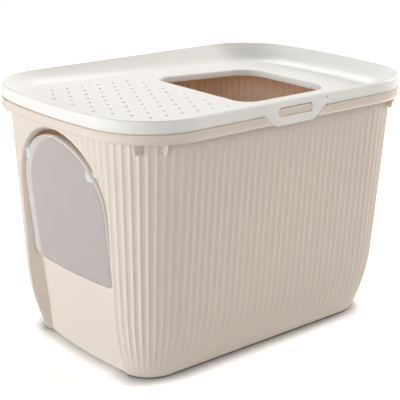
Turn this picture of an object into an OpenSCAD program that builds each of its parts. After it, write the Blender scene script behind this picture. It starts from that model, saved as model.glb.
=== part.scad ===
// Top entry litter box: a fluted bin with a swinging door in one end,
// and a dished lid with a perforated step, an entry hole and two snap latches.
// The door end faces -X, the long sides face -Y and +Y, and the bin stands on Z = 0.

/* [Rim and outline] */
// Length over the rim of the bin
rim_l = 585; // [540:5:640]
// Width over the rim of the bin
rim_w = 396; // [380:2:430]
// Radius of the rim's corners in plan
corner_r = 107; // [96:1:118]
// Radius of the bow of the two ends in plan
end_r = 782; // [700:10:1200]
// Height of the rim's top face above the ground
rim_z = 376.5; // [366:0.5:400]
// Height of the band that hangs from the rim
rim_h = 15.5; // [12:0.5:20]
// Thickness of the rim's band and shelf
rim_t = 2.4; // [1.8:0.1:3]

/* [Bin wall] */
// Thickness of the bin wall
wall_t = 2.4; // [1.8:0.1:3]
// Distance from the rim's outer face in to the wall, under the rim
wall_in = 12.4; // [11:0.2:15]
// Draft of the wall, sideways run for each unit of height
wall_draft = 0.062; // [0.04:0.002:0.07]
// Height at which the wall starts to roll under
foot_z = 110; // [80:5:140]
// Extra run inwards that the roll gives the foot
foot_in = 17; // [8:1:22]
// Radius of the edge round the base
edge_r = 10; // [6:1:14]
// Thickness of the base
base_t = 3; // [2.5:0.1:4]
// Depth of the hollow under the base
base_hollow = 1.2; // [0.6:0.1:1.6]
// Width of the standing ring round the hollow
foot_ring = 26; // [16:1:40]

/* [Flutes] */
// Number of flutes in half of the wall
flutes_half = 69; // [59:2:71]
// Depth of a flute below the sharp ridges beside it
flute_d = 1.6; // [0.8:0.1:2.2]
// Height at which the flutes have their full depth
flute_z = 60; // [40:5:100]

/* [Stacking lugs] */
// Thickness of a stacking lug under the rim
lug_t = 2.6; // [1.6:0.1:4]
// Depth that a stacking lug hangs below the rim
lug_drop = 15.5; // [10:0.5:20]
// Run inwards of a lug's free edge over that depth
lug_taper = 3; // [0:0.5:5]
// Distance from the middle line out to the ends' lugs
lug_end_y = 158.5; // [140:0.5:165]
// Distance from the middle line out to the sides' lugs
lug_side_x = 221; // [200:1:235]

/* [Doorway] */
// Lean of the doorway and its flap from upright, in degrees
door_lean = 6.6; // [5:0.2:7.4]
// Height of the flap's hinge axis
hinge_z = 303; // [298:1:308]
// Distance from the rim's outer face in to the hinge axis
hinge_in = 29.8; // [28:0.2:31]
// Half width of the doorway, and radius of its arch
way_r = 105.5; // [104:0.5:107]
// Height of the hinge axis above the centre of the arch
way_drop = 58; // [56:0.5:60]
// Height of the hinge axis above the sill
sill_drop = 171; // [166:1:178]
// Flare of the recess, sideways run for each unit of depth
way_flare = 0.58; // [0.4:0.02:0.65]
// Run inwards of the recess's outer edge from the arch down to its foot
way_leg = 21; // [10:1:26]
// Distance that the flap's face stands in front of the recess floor
flap_stand = 10; // [9:0.5:12]

/* [Flap] */
// Gap between the doorway's arch and the flap's edge
flap_gap = 6; // [5.5:0.5:8]
// Gap between the sill and the flap's lower edge
flap_low_gap = 3.5; // [3:0.5:12]
// Radius of the flap's lower corners
flap_corner = 12; // [6:1:20]
// Thickness of the flap
flap_t = 2; // [1.5:0.1:3]
// Depth of the turned-in edge of the flap
flap_edge = 10; // [8:0.5:11]
// Distance from the hinge axis out to the flap's face, at its middle
flap_face = 12.2; // [11:0.2:13]
// Radius of the flap's hinge pins
pin_r = 4.5; // [3:0.25:5]
// Running clearance round a hinge pin
pin_gap = 0.08; // [0.03:0.01:0.1]
// Depth that a pin reaches into the doorway's side
pin_hold = 5.4; // [4.5:0.1:6.5]
// Radius of the collar at the root of a pin
collar_r = 5.5; // [5:0.25:6]
// Wall of the socket round a hinge pin
socket_t = 3.4; // [2.5:0.1:4]

/* [Lid] */
// Thickness of the lid
lid_t = 2.4; // [1.8:0.1:3]
// Height of the lid's skirt
skirt_h = 17.5; // [15:0.5:24]
// Distance that the skirt stands back from the rim's outer face
skirt_in = 1; // [0.5:0.1:2]
// Radius of the round along the lid's top edge
roll_r = 2.4; // [1.5:0.1:3]
// Width of the sloping band inside the lid's top edge
dish_w = 44; // [42:1:60]
// Depth of the dish below the lid's top edge, at the hinge end of the holes
dish_d = 16; // [14:0.5:18]
// Place along the lid at which the dish has that depth
dish_x = -190; // [-200:5:-150]
// Fall of the dish floor towards the entry, in degrees
dish_fall = 1.6; // [1:0.1:2]

/* [Entry] */
// Place along the lid of the entry's edge nearest the door end
entry_x0 = -17; // [-25:1:-5]
// Place along the lid of the entry's other edge
entry_x1 = 181; // [150:1:190]
// Half width of the entry at its wide side
entry_b0 = 111; // [90:1:118]
// Half width of the entry at its narrow side
entry_b1 = 94; // [80:1:100]
// Radius of the entry's corners at its wide side
entry_r0 = 25; // [15:1:40]
// Radius of the entry's corners at its narrow side
entry_r1 = 44; // [25:1:60]
// Depth of the lip round the entry, below the dish floor
entry_lip = 10.5; // [6:0.5:14]

/* [Perforations] */
// Diameter of a litter hole
hole_d = 5.6; // [4:0.2:7]
// Spacing of the holes along a row
hole_pitch = 28; // [24:1:32]
// Spacing of the rows
hole_rows = 24.6; // [20:0.2:26]
// Place along the lid of the first hole of an even row
hole_x = -234; // [-238:1:-228]
// Place along the lid where the rows end
hole_end = -46; // [-60:1:-40]
// Sum of the distances from the middle, both ways, that the corner holes keep within
hole_corner = 320; // [300:2:324]

/* [Latches] */
// Half width of a latch at its root
latch_b = 63; // [58:1:70]
// Half width of a latch at its foot
latch_foot_b = 45; // [42:1:48]
// Distance that a latch hangs below the lid's skirt
latch_drop = 18.5; // [16:0.5:20]
// Height of a latch's bending line above the lid's skirt
latch_root = 11.5; // [10:0.5:12.5]
// Half width of the slot in a latch
slot_b = 33; // [28:1:38]
// Height of the slot's lower edge below the lid's skirt
slot_low = 5.6; // [4:0.2:7]
// Height of the slot
slot_h = 13; // [10:0.5:13.5]
// Radius of the slot's corners
slot_r = 5.5; // [3:0.5:6]
// Gap round the catch in its slot
catch_gap = 0.4; // [0.3:0.1:0.8]
// Gap above the catch in its slot
catch_top_gap = 1.3; // [0.4:0.1:2]
// Gap between a latch and the rim around and behind it
latch_gap = 0.6; // [0.4:0.1:1]
// Clearance round the rolled root of a latch
root_gap = 0.08; // [0.05:0.01:0.1]

/* [Hidden] */
$fn = 64;

half_l = rim_l / 2;
half_w = rim_w / 2;
rim_low = rim_z - rim_h;
lid_z = rim_z + skirt_h;
past = 1;
bin_colour = [0.82, 0.76, 0.70];
lid_colour = [0.95, 0.94, 0.92];
flap_colour = [0.80, 0.79, 0.79];

// Plan of the rim: straight long sides, bowed ends and round corners.
// The centre of a corner lies where its arc meets the side and the bow without a kink.
corner_y = half_w - corner_r;
corner_x = half_l - end_r + sqrt(pow(end_r - corner_r, 2) - pow(corner_y, 2));
bow_angle = asin(corner_y / (end_r - corner_r));

// Point of the plan in its first quarter, moved in by inset.
function end_point(angle, inset) =
    [half_l - end_r + (end_r - inset) * cos(angle), (end_r - inset) * sin(angle)];
function corner_point(angle, inset) =
    [corner_x + (corner_r - inset) * cos(angle), corner_y + (corner_r - inset) * sin(angle)];

// The whole plan, moved in by inset, as points in order.
bow_steps = 4;
corner_steps = 14;
function quarter(inset) = concat(
    [for (i = [0:bow_steps - 1]) end_point(bow_angle * i / bow_steps, inset)],
    [for (i = [0:corner_steps])
        corner_point(bow_angle + (90 - bow_angle) * i / corner_steps, inset)]);
function reversed(points) = [for (i = [len(points) - 1:-1:0]) points[i]];
function plan(inset) = let (q = quarter(inset), n = len(q)) concat(
    q,
    [for (p = reversed([for (i = [1:n - 1]) q[i]])) [-p[0], p[1]]],
    [for (p = q) [-p[0], -p[1]]],
    [for (p = reversed([for (i = [1:n - 1]) q[i]])) [p[0], -p[1]]]);

// Closed skin through rings of equal length, with a flat cap at each end.
module loft(rings) {
    n = len(rings[0]);
    m = len(rings);
    polyhedron(
        points = [for (ring = rings) each ring],
        faces = concat(
            [[for (i = [0:n - 1]) i]],
            [for (j = [0:m - 2], i = [0:n - 1])
                [j * n + i, (j + 1) * n + i, (j + 1) * n + (i + 1) % n]],
            [for (j = [0:m - 2], i = [0:n - 1])
                [j * n + i, (j + 1) * n + (i + 1) % n, j * n + (i + 1) % n]],
            [[for (i = [n - 1:-1:0]) (m - 1) * n + i]]));
}

// Polygon points with a round of its own radius at each corner: [x, y, radius].
round_steps = 6;
function unit(v) = v / norm(v);
function rounded(corners) = let (n = len(corners)) [
    for (i = [0:n - 1])
        let (
            here = [corners[i][0], corners[i][1]],
            before = [corners[(i + n - 1) % n][0], corners[(i + n - 1) % n][1]],
            after = [corners[(i + 1) % n][0], corners[(i + 1) % n][1]],
            r = corners[i][2],
            a = unit(before - here),
            b = unit(after - here),
            half = acos(a * b) / 2,
            centre = here + unit(a + b) * r / sin(half),
            from = here + a * r / tan(half) - centre,
            turn = 180 - 2 * half,
            side = sign(a[0] * b[1] - a[1] * b[0]))
        each [
            for (k = [0:round_steps])
                let (t = -side * turn * k / round_steps)
                centre + [from[0] * cos(t) - from[1] * sin(t), from[0] * sin(t) + from[1] * cos(t)]]];

// Bin wall: run inwards of its outer face at each height.
function wall_run(z) = wall_in + wall_draft * (rim_low - z)
    + (z < foot_z ? foot_in * pow((foot_z - z) / (foot_z - edge_r), 2) : 0);

// Lengths of the end, corner and side in a quarter of the wall, under the rim.
end_len = (end_r - wall_in) * bow_angle * PI / 180;
corner_len = (corner_r - wall_in) * (90 - bow_angle) * PI / 180;
quarter_len = end_len + corner_len + corner_x;
flute_points = 3;
flute_count = 2 * flutes_half;
flute_w = 2 * quarter_len / flutes_half;

// Point of the wall at a length along its quarter, moved in by inset.
function wall_point(u, inset) =
    u < end_len ? end_point(u / end_len * bow_angle, inset)
    : u < end_len + corner_len
        ? corner_point(bow_angle + (u - end_len) / corner_len * (90 - bow_angle), inset)
        : [corner_x - (u - end_len - corner_len), half_w - inset];

// A flute is a shallow scoop between two sharp ridges; one ridge runs down each side's middle.
ring_points = flute_count * flute_points;
ring_start = floor(ring_points / 4);
function flute_scoop(i) =
    let (along = ((i - ring_start + ring_points) % flute_points) / flute_points)
    flute_d * (1 - pow(2 * along - 1, 2));
function wall_ring(z, inset, depth) = [
    for (i = [0:ring_points - 1])
        let (
            s = quarter_len + (i - ring_start) * flute_w / flute_points,
            q = floor(s / quarter_len + 0.00001),
            t = s - q * quarter_len,
            p = wall_point(q % 2 == 0 ? t : quarter_len - t, inset + flute_scoop(i) * depth))
        [q == 1 || q == 2 ? -p[0] : p[0], q > 1 ? -p[1] : p[1], z]];

// Heights of the rings, and the share of the flutes' depth at each.
roll_z = [for (k = [0:2]) edge_r + (foot_z - edge_r) * k / 3];
function flute_depth(z) = min(1, max(0, (z - edge_r * 0.5) / (flute_z - edge_r * 0.5)));
edge_run = wall_run(edge_r);
wall_top = rim_z - rim_t / 2;

module wall_shell() {
    loft(concat(
        [wall_ring(0, edge_run + edge_r, 0)],
        [wall_ring(edge_r * 0.3, edge_run + edge_r * 0.38, 0)],
        [for (z = roll_z) wall_ring(z, wall_run(z), flute_depth(z))],
        [wall_ring(foot_z, wall_run(foot_z), 1)],
        [wall_ring(wall_top, wall_run(wall_top), 1)],
        [wall_ring(wall_top, wall_run(wall_top) + wall_t, 1)],
        [wall_ring(foot_z, wall_run(foot_z) + wall_t, 1)],
        [wall_ring(roll_z[1], wall_run(roll_z[1]) + wall_t, flute_depth(roll_z[1]))],
        [wall_ring(roll_z[0] + base_t, wall_run(roll_z[0]) + wall_t, 0)],
        [wall_ring(base_t, edge_run + edge_r + wall_t, 0)]));
}

// The space inside the wall's outer skin, drawn smooth, that linings are trimmed to.
trim_in = (flute_d * 0.89 + wall_t) / 2;
module wall_space() {
    loft(concat(
        [[for (p = plan(edge_run + edge_r + trim_in)) [p[0], p[1], 0]]],
        [for (z = roll_z) [for (p = plan(wall_run(z) + trim_in)) [p[0], p[1], z]]],
        [[for (p = plan(wall_run(foot_z) + trim_in)) [p[0], p[1], foot_z]]],
        [[for (p = plan(wall_run(rim_low) + trim_in)) [p[0], p[1], rim_low]]]));
}

// Flat band between two insets of the plan.
module band(outer, inner, height) {
    linear_extrude(height) difference() {
        polygon(plan(outer));
        polygon(plan(inner));
    }
}

// Run inwards of the bin's mouth, past the flutes' inner face.
mouth_in = wall_run(wall_top) + flute_d + wall_t;

// The rim is a shelf round the mouth with a band hanging from its edge.
module rim() {
    translate([0, 0, rim_z - rim_t]) band(0, mouth_in, rim_t);
    translate([0, 0, rim_low]) band(0, rim_t, rim_h);
}

// Stacking lugs: two gussets under the rim at each corner, square to the end and to the side.
// A lug stands off from the corner's middle and reaches from the wall out to the rim's band.
function lug_reach(off, inset) = sqrt(pow(corner_r - inset, 2) - pow(off, 2));
module lug(off) {
    low = rim_low - lug_drop;
    band_reach = lug_reach(off, rim_t / 2);
    free_reach = lug_reach(off, rim_t) - 0.5;
    translate([0, off, 0]) rotate([90, 0, 0]) linear_extrude(lug_t, center = true) polygon([
        [lug_reach(off, wall_run(low) + trim_in), low],
        [free_reach - lug_taper, low],
        [free_reach, rim_low],
        [band_reach, rim_low + 1],
        [band_reach, rim_z - rim_t / 2],
        [lug_reach(off, wall_run(rim_z) + trim_in), rim_z - rim_t / 2]]);
}
module lugs() {
    for (sx = [0, 1], sy = [0, 1])
        mirror([sx, 0, 0]) mirror([0, sy, 0]) translate([corner_x, corner_y, 0]) {
            lug(lug_end_y - corner_y);
            mirror([1, -1, 0]) lug(lug_side_x - corner_x);
        }
}

// Places the doorway's and the flap's drawing plane: origin on the hinge axis,
// x across the end, y up along the leaning face, z out of the bin.
module door_place() {
    translate([hinge_in - half_l, 0, hinge_z])
        rotate([0, -door_lean, 0])
        rotate([90, 0, -90])
        children();
}

// Arched outline from far below the ground to the arch, at a radius.
arch_steps = 26;
way_foot = hinge_z * 1.2;
function arch_ring(r, leg, z) = concat(
    [[r - leg, -way_foot, z]],
    [for (i = [0:arch_steps])
        [r * cos(180 * i / arch_steps), r * sin(180 * i / arch_steps) - way_drop, z]],
    [[leg - r, -way_foot, z]]);

// Flared recess in front of a bowed floor; grow adds a wall round it.
recess_z = flap_face - flap_stand;
recess_deep = 14;
recess_out = 44;
module recess(grow) {
    back = recess_z - grow;
    difference() {
        loft([
            arch_ring(way_r + grow - way_flare * recess_deep, 0, recess_z - recess_deep),
            arch_ring(way_r + grow + way_flare * recess_out, way_leg, recess_z + recess_out)]);
        translate([0, 0, back - end_r])
            rotate([90, 0, 0])
            cylinder(r = end_r, h = 3 * way_foot, center = true, $fn = 360);
    }
}

// Arched opening through the wall above the sill.
way_step = 0.5;
module way_through() {
    translate([0, 0, recess_z - recess_deep * 2]) linear_extrude(recess_deep * 2 + flap_stand) {
        translate([0, -way_drop]) circle(r = way_r - way_step);
        translate([way_step - way_r, -sill_drop])
            square([2 * (way_r - way_step), sill_drop - way_drop]);
    }
}

// Sockets for the hinge pins, behind the recess's side walls.
socket_back = 15;
pin_reach = sqrt(pow(way_r, 2) - pow(way_drop, 2)) + pin_hold;
module sockets() {
    socket_r = pin_r + pin_gap + socket_t;
    socket_l = socket_back + pin_hold;
    for (s = [-1, 1])
        rotate([0, s * 90, 0])
            translate([0, 0, pin_reach - socket_l])
            cylinder(r = socket_r, h = socket_l + socket_t);
}
module pin_bores() {
    rotate([0, 90, 0]) cylinder(r = pin_r + pin_gap, h = 2 * (pin_reach + 0.5), center = true);
}

// Height of the latches' parts above the ground.
latch_foot_z = rim_z - latch_drop;
latch_root_z = rim_z + latch_root;
slot_low_z = rim_z - slot_low;

// Outline of a latch below its root; grow widens it for the notch in the rim.
function latch_outline(grow) = rounded([
    [latch_b + grow, rim_z + past, 0.5],
    [latch_b + grow, rim_z - 0.8, 0.6],
    [latch_b - 7 + grow, rim_z - 2.6, 5],
    [latch_foot_b + grow, latch_foot_z + 5, 6],
    [latch_foot_b - 9 + grow, latch_foot_z - grow, 6],
    [-latch_foot_b + 9 - grow, latch_foot_z - grow, 6],
    [-latch_foot_b - grow, latch_foot_z + 5, 6],
    [-latch_b + 7 - grow, rim_z - 2.6, 5],
    [-latch_b - grow, rim_z - 0.8, 0.6],
    [-latch_b - grow, rim_z + past, 0.5]]);

// Outline of the slot in a latch; shrink and top make the catch that fills it.
function slot_outline(shrink, top) = rounded([
    [slot_b - shrink, slot_low_z + shrink, slot_r - shrink],
    [slot_b - shrink, slot_low_z + slot_h - top, slot_r - shrink],
    [-slot_b + shrink, slot_low_z + slot_h - top, slot_r - shrink],
    [-slot_b + shrink, slot_low_z + shrink, slot_r - shrink]]);

// Stands a drawing in XZ upright on the front side, from one inset in to another.
module on_front(outer, inner) {
    translate([0, inner - half_w, 0]) rotate([90, 0, 0]) linear_extrude(inner - outer) children();
}
module both_sides() {
    children();
    rotate([0, 0, 180]) children();
}

latch_back = skirt_in + lid_t;
seat_in = latch_back + latch_gap;

// Wall behind a latch with the catch that its slot snaps over.
module latch_seat() {
    on_front(seat_in, seat_in + rim_t)
        translate([-latch_b - 4, rim_low]) square([2 * latch_b + 8, rim_h]);
    on_front(skirt_in + 0.3, seat_in + rim_t) polygon(slot_outline(catch_gap, catch_top_gap));
}
module latch_notch() {
    on_front(-past, seat_in) polygon(latch_outline(latch_gap));
}

module bin() {
    color(bin_colour) difference() {
        union() {
            wall_shell();
            difference() {
                union() {
                    rim();
                    lugs();
                }
                both_sides() latch_notch();
            }
            both_sides() latch_seat();
            intersection() {
                wall_space();
                door_place() union() {
                    recess(wall_t);
                    sockets();
                }
            }
        }
        door_place() {
            recess(0);
            way_through();
            pin_bores();
        }
        translate([0, 0, -past]) linear_extrude(base_hollow + past)
            polygon(plan(edge_run + edge_r + foot_ring));
    }
}

// Lid: height of the dish floor at a place along the lid, falling towards the entry.
fall = tan(dish_fall);
function floor_z(x) = lid_z - dish_d - fall * (x - dish_x);
dish_from = skirt_in + roll_r * 1.3;
function dish_ring(t, drop) = [
    for (p = plan(dish_from + dish_w * t))
        [p[0], p[1], floor_z(p[0]) + (lid_z - floor_z(p[0])) * pow(1 - t, 2) - drop]];
function flat_ring(inset, z) = [for (p = plan(inset)) [p[0], p[1], z]];

module lid_shell() {
    loft([
        dish_ring(1, lid_t),
        dish_ring(0.72, lid_t),
        dish_ring(0.46, lid_t),
        dish_ring(0.24, lid_t),
        dish_ring(0.08, lid_t),
        flat_ring(skirt_in + lid_t, lid_z - 1.9 * lid_t),
        flat_ring(skirt_in + lid_t, rim_z),
        flat_ring(skirt_in, rim_z),
        flat_ring(skirt_in, lid_z - roll_r),
        flat_ring(skirt_in + roll_r * 0.29, lid_z - roll_r * 0.29),
        flat_ring(skirt_in + roll_r, lid_z),
        dish_ring(0.08, 0),
        dish_ring(0.24, 0),
        dish_ring(0.46, 0),
        dish_ring(0.72, 0),
        dish_ring(1, 0)]);
}

// Places a drawing on the leaning dish floor, with x along the lid.
module on_dish() {
    translate([0, 0, floor_z(0)]) rotate([0, dish_fall, 0]) children();
}
function entry_outline(grow) = rounded([
    [entry_x0 - grow, entry_b0 + grow, entry_r0 + grow],
    [entry_x0 - grow, -entry_b0 - grow, entry_r0 + grow],
    [entry_x1 + grow, -entry_b1 - grow, entry_r1 + grow],
    [entry_x1 + grow, entry_b1 + grow, entry_r1 + grow]]);

module holes() {
    row_count = 10;
    for (row = [0:row_count - 1])
        let (y = (row - (row_count - 1) / 2) * hole_rows, shift = row % 2 == 1 ? 0 : hole_pitch / 2)
        for (x = [hole_x + shift:hole_pitch:hole_end])
            if (abs(x) + abs(y) < hole_corner)
                translate([x, y, -lid_t - past])
                    cylinder(d = hole_d, h = lid_t + 2 * past, $fn = 16);
}

// Room in the skirt for a latch and its rolled root.
root_in = skirt_in + lid_t / 2;
root_r = lid_t / 2;
module latch_room() {
    on_front(-past, latch_back + 0.05)
        translate([-latch_b, rim_z - past]) square([2 * latch_b, latch_root + past]);
    translate([0, root_in - half_w, latch_root_z]) rotate([0, 90, 0])
        cylinder(r = root_r + root_gap, h = 2 * latch_b, center = true);
}

module lid() {
    color(lid_colour) difference() {
        union() {
            lid_shell();
            on_dish() translate([0, 0, -entry_lip]) linear_extrude(entry_lip - lid_t / 2)
                polygon(entry_outline(lid_t));
        }
        on_dish() {
            translate([0, 0, -entry_lip - past]) linear_extrude(entry_lip + 2 * past)
                polygon(entry_outline(0));
            holes();
        }
        both_sides() latch_room();
    }
}

// Latch: a tongue of the skirt with a rolled root, which bends out over the catch.
module latch() {
    color(lid_colour) difference() {
        union() {
            on_front(skirt_in, latch_back) {
                polygon(latch_outline(0));
                translate([-latch_b, rim_z]) square([2 * latch_b, latch_root]);
            }
            translate([0, root_in - half_w, latch_root_z]) rotate([0, 90, 0])
                cylinder(r = root_r, h = 2 * latch_b, center = true);
        }
        on_front(-past, latch_back + past) polygon(slot_outline(0, 0));
    }
}
module front_latch() {
    latch();
}
module rear_latch() {
    rotate([0, 0, 180]) latch();
}

// Outline of the flap, moved in by inset.
flap_r = way_r - flap_gap;
flap_drop = sill_drop - flap_low_gap;
function flap_outline(inset) = concat(
    [for (i = [0:2 * arch_steps])
        let (r = flap_r - inset, t = 90 * i / arch_steps)
        [r * cos(t), r * sin(t) - way_drop]],
    [for (p = rounded([
        [-flap_r + inset, -way_drop, 1],
        [-flap_r + inset, -flap_drop + inset, flap_corner - inset],
        [flap_r - inset, -flap_drop + inset, flap_corner - inset],
        [flap_r - inset, -way_drop, 1]])) if (p[1] < -way_drop - 2) p]);
module bowed_block(face) {
    translate([0, 0, face - end_r]) rotate([90, 0, 0])
        cylinder(r = end_r, h = 4 * flap_drop, center = true, $fn = 360);
}

// Flap: a bowed pane with a turned-in edge, and a pin at each side of its arch.
module door_flap() {
    bow = end_r - sqrt(pow(end_r, 2) - pow(flap_r, 2));
    color(flap_colour) door_place() {
        difference() {
            intersection() {
                translate([0, 0, flap_face - flap_edge - bow])
                    linear_extrude(flap_edge + bow) polygon(flap_outline(0));
                difference() {
                    bowed_block(flap_face);
                    bowed_block(flap_face - flap_edge);
                }
            }
            intersection() {
                translate([0, 0, flap_face - flap_edge - bow - past])
                    linear_extrude(flap_edge + bow + past) polygon(flap_outline(flap_t));
                bowed_block(flap_face - flap_t);
            }
        }
        pin_root = sqrt(pow(flap_r, 2) - pow(way_drop, 2));
        for (s = [-1, 1]) rotate([0, s * 90, 0]) {
            translate([0, 0, pin_root - 5]) cylinder(r = collar_r, h = 5.5);
            translate([0, 0, pin_root - 5]) cylinder(r = pin_r, h = pin_reach - pin_root + 5);
        }
    }
}

bin();
lid();
front_latch();
rear_latch();
door_flap();
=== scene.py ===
"""Looks of the top entry litter box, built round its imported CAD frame.

Every moulding is modelled in millimetres in the frame's own axes: +X runs from the flap's end to
the plain end, +Y across the bin, +Z up, with the origin on the ground. Each class below is one
sub-assembly of the real object; its fields are the sizes of that moulding, its build methods make
the meshes and its dress method gives them their finish, their body and their material slot.
"""

import logging
import math
from collections.abc import Callable, Sequence
from dataclasses import dataclass, field
from enum import Enum

import bmesh
import bpy
import numpy as np
from bpy.types import GeometryNodeTree, Material, Mesh, Node, NodeSocket, NodeTree, Object
from mathutils import Matrix, Vector, geometry

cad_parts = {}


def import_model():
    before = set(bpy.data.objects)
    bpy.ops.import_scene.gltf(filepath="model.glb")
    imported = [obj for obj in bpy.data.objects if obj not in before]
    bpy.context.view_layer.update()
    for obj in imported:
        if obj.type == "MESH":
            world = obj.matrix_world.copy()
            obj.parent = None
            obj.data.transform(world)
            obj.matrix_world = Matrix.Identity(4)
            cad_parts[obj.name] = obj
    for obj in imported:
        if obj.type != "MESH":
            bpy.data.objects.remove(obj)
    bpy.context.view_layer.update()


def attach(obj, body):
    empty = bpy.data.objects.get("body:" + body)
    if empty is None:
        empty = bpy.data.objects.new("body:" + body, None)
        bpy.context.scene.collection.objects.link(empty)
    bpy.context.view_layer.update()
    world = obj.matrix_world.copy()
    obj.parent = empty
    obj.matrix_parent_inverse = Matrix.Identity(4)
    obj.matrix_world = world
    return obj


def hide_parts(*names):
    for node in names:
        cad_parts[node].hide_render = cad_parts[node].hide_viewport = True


Array = np.ndarray

MM = 0.001
SHARP_ANGLE = math.radians(32)
# Points nearer to each other than this are one point, in metres.
WELD = 1e-7
# Points that are tested against loops at one time.
BATCH = 4000
log = logging.getLogger("litter_box")


class Body(Enum):
    """CAD bodies that the pieces ride on."""

    BIN = "bin"
    LID = "lid"
    FRONT_LATCH = "front_latch"
    REAR_LATCH = "rear_latch"
    DOOR = "door"


class Slot(Enum):
    """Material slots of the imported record."""

    BIN = "bin_plastic"
    LID = "lid_plastic"
    FLAP = "flap_plastic"


class Side(Enum):
    """Long sides of the box, by the turn about Z that takes the front side there."""

    FRONT = 0.0
    REAR = math.pi


# ---- small helpers


def srgb_to_linear(hex_colour: str) -> tuple[float, float, float, float]:
    """Turns a #RRGGBB screen colour into the linear RGBA that shader sockets take.

    Args:
        hex_colour: the colour as it reads on a screen.

    Returns:
        Linear red, green and blue with an alpha of 1.
    """
    parts = [int(hex_colour[i : i + 2], 16) / 255 for i in (1, 3, 5)]
    linear = [c / 12.92 if c <= 0.04045 else ((c + 0.055) / 1.055) ** 2.4 for c in parts]
    return (linear[0], linear[1], linear[2], 1.0)


def add_node(
    tree: NodeTree, kind: str, inputs: dict[str, object] | None = None, **settings: object
) -> Node:
    """Adds one node, sets it up and fills its inputs.

    Args:
        tree: the node tree that gets the node.
        kind: Blender's name of the node type.
        inputs: socket identifier to a plain value, or to the output socket that feeds it.
        **settings: node properties such as operation or data_type.

    Returns:
        The new node.
    """
    node = tree.nodes.new(kind)
    for name, value in settings.items():
        setattr(node, name, value)
    for name, value in (inputs or {}).items():
        socket = next(s for s in node.inputs if s.identifier == name)
        if isinstance(value, NodeSocket):
            tree.links.new(value, socket)
        else:
            socket.default_value = value
    return node


def smooth_min(a: Array, b: Array, width: float) -> Array:
    """Lower of two heights with a rounded change-over.

    Args:
        a: first heights.
        b: second heights.
        width: difference in height within which the two are blended.

    Returns:
        The blended heights.
    """
    share = np.maximum(width - np.abs(a - b), 0.0)
    return np.minimum(a, b) - share**2 / (4 * width)


def smooth_max(a: Array, b: Array, width: float) -> Array:
    """Upper of two heights with a rounded change-over; see smooth_min."""
    return -smooth_min(-a, -b, width)


def turned(points: Array, angle: float) -> Array:
    """Turns points about the Z axis.

    Args:
        points: array of points, last axis x, y, z.
        angle: turn in radians.

    Returns:
        The turned points.
    """
    c, s = math.cos(angle), math.sin(angle)
    return points @ np.array([[c, s, 0.0], [-s, c, 0.0], [0.0, 0.0, 1.0]])


def rounded_polygon(corners: Sequence[tuple[float, float, float]], step: float = 15.0) -> Array:
    """Outline of a polygon with a radius at each corner.

    Args:
        corners: x, y and radius of each corner, in order.
        step: largest turn between two points of a corner's arc, in degrees.

    Returns:
        Array (n, 2) of points in the same order.
    """
    points = []
    for i, (x, y, radius) in enumerate(corners):
        here = np.array([x, y])
        before = np.array(corners[i - 1][:2]) - here
        after = np.array(corners[(i + 1) % len(corners)][:2]) - here
        before /= np.linalg.norm(before)
        after /= np.linalg.norm(after)
        half = 0.5 * math.acos(float(np.clip(before @ after, -1, 1)))
        middle = (before + after) / np.linalg.norm(before + after)
        centre = here + middle * radius / math.sin(half)
        start = here + before * radius / math.tan(half) - centre
        turn = math.pi - 2 * half
        way = 1.0 if before[0] * after[1] - before[1] * after[0] < 0 else -1.0
        count = max(2, math.ceil(math.degrees(turn) / step))
        for k in range(count + 1):
            a = way * turn * k / count
            c, s = math.cos(a), math.sin(a)
            points.append(centre + [start[0] * c - start[1] * s, start[0] * s + start[1] * c])
    return np.array(points)


def resampled(loop: Array, spacing: float) -> Array:
    """Adds points on the long edges of a closed loop, keeping those it has.

    Args:
        loop: array (n, 2) of points.
        spacing: longest edge wanted.

    Returns:
        Array (m, 2) of points.
    """
    out = []
    for a, b in zip(loop, np.roll(loop, -1, axis=0)):
        count = max(1, math.ceil(np.linalg.norm(b - a) / spacing))
        out += [a + (b - a) * k / count for k in range(count)]
    return np.array(out)


def loop_normals(loop: Array) -> Array:
    """Outward unit normals at the points of a closed loop.

    Args:
        loop: array (n, 2) of points.

    Returns:
        Array (n, 2) of unit vectors.
    """
    run = np.roll(loop, -1, axis=0) - np.roll(loop, 1, axis=0)
    run /= np.maximum(np.linalg.norm(run, axis=1, keepdims=True), 1e-9)
    following = np.roll(loop, -1, axis=0)
    area = np.sum(loop[:, 0] * following[:, 1] - following[:, 0] * loop[:, 1])
    return np.stack([run[:, 1], -run[:, 0]], axis=1) * (1.0 if area > 0 else -1.0)


def inside_loops(points: Array, loops: Sequence[Array]) -> Array:
    """Even-odd test of points against closed loops.

    Args:
        points: array (n, 2) of points.
        loops: closed loops as arrays (m, 2).

    Returns:
        Array (n,) of flags, true where a point lies inside an odd number of loops.
    """
    odd = np.zeros(len(points), bool)
    for loop in loops:
        a, b = loop, np.roll(loop, -1, axis=0)
        for start in range(0, len(points), BATCH):
            part = points[start : start + BATCH]
            x, y = part[:, 0:1], part[:, 1:2]
            spans = (a[:, 1] > y) != (b[:, 1] > y)
            rise = np.where(b[:, 1] == a[:, 1], 1.0, b[:, 1] - a[:, 1])
            crossing = a[:, 0] + (y - a[:, 1]) * (b[:, 0] - a[:, 0]) / rise
            odd[start : start + BATCH] ^= (np.sum(spans & (x < crossing), axis=1) % 2).astype(bool)
    return odd


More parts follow.
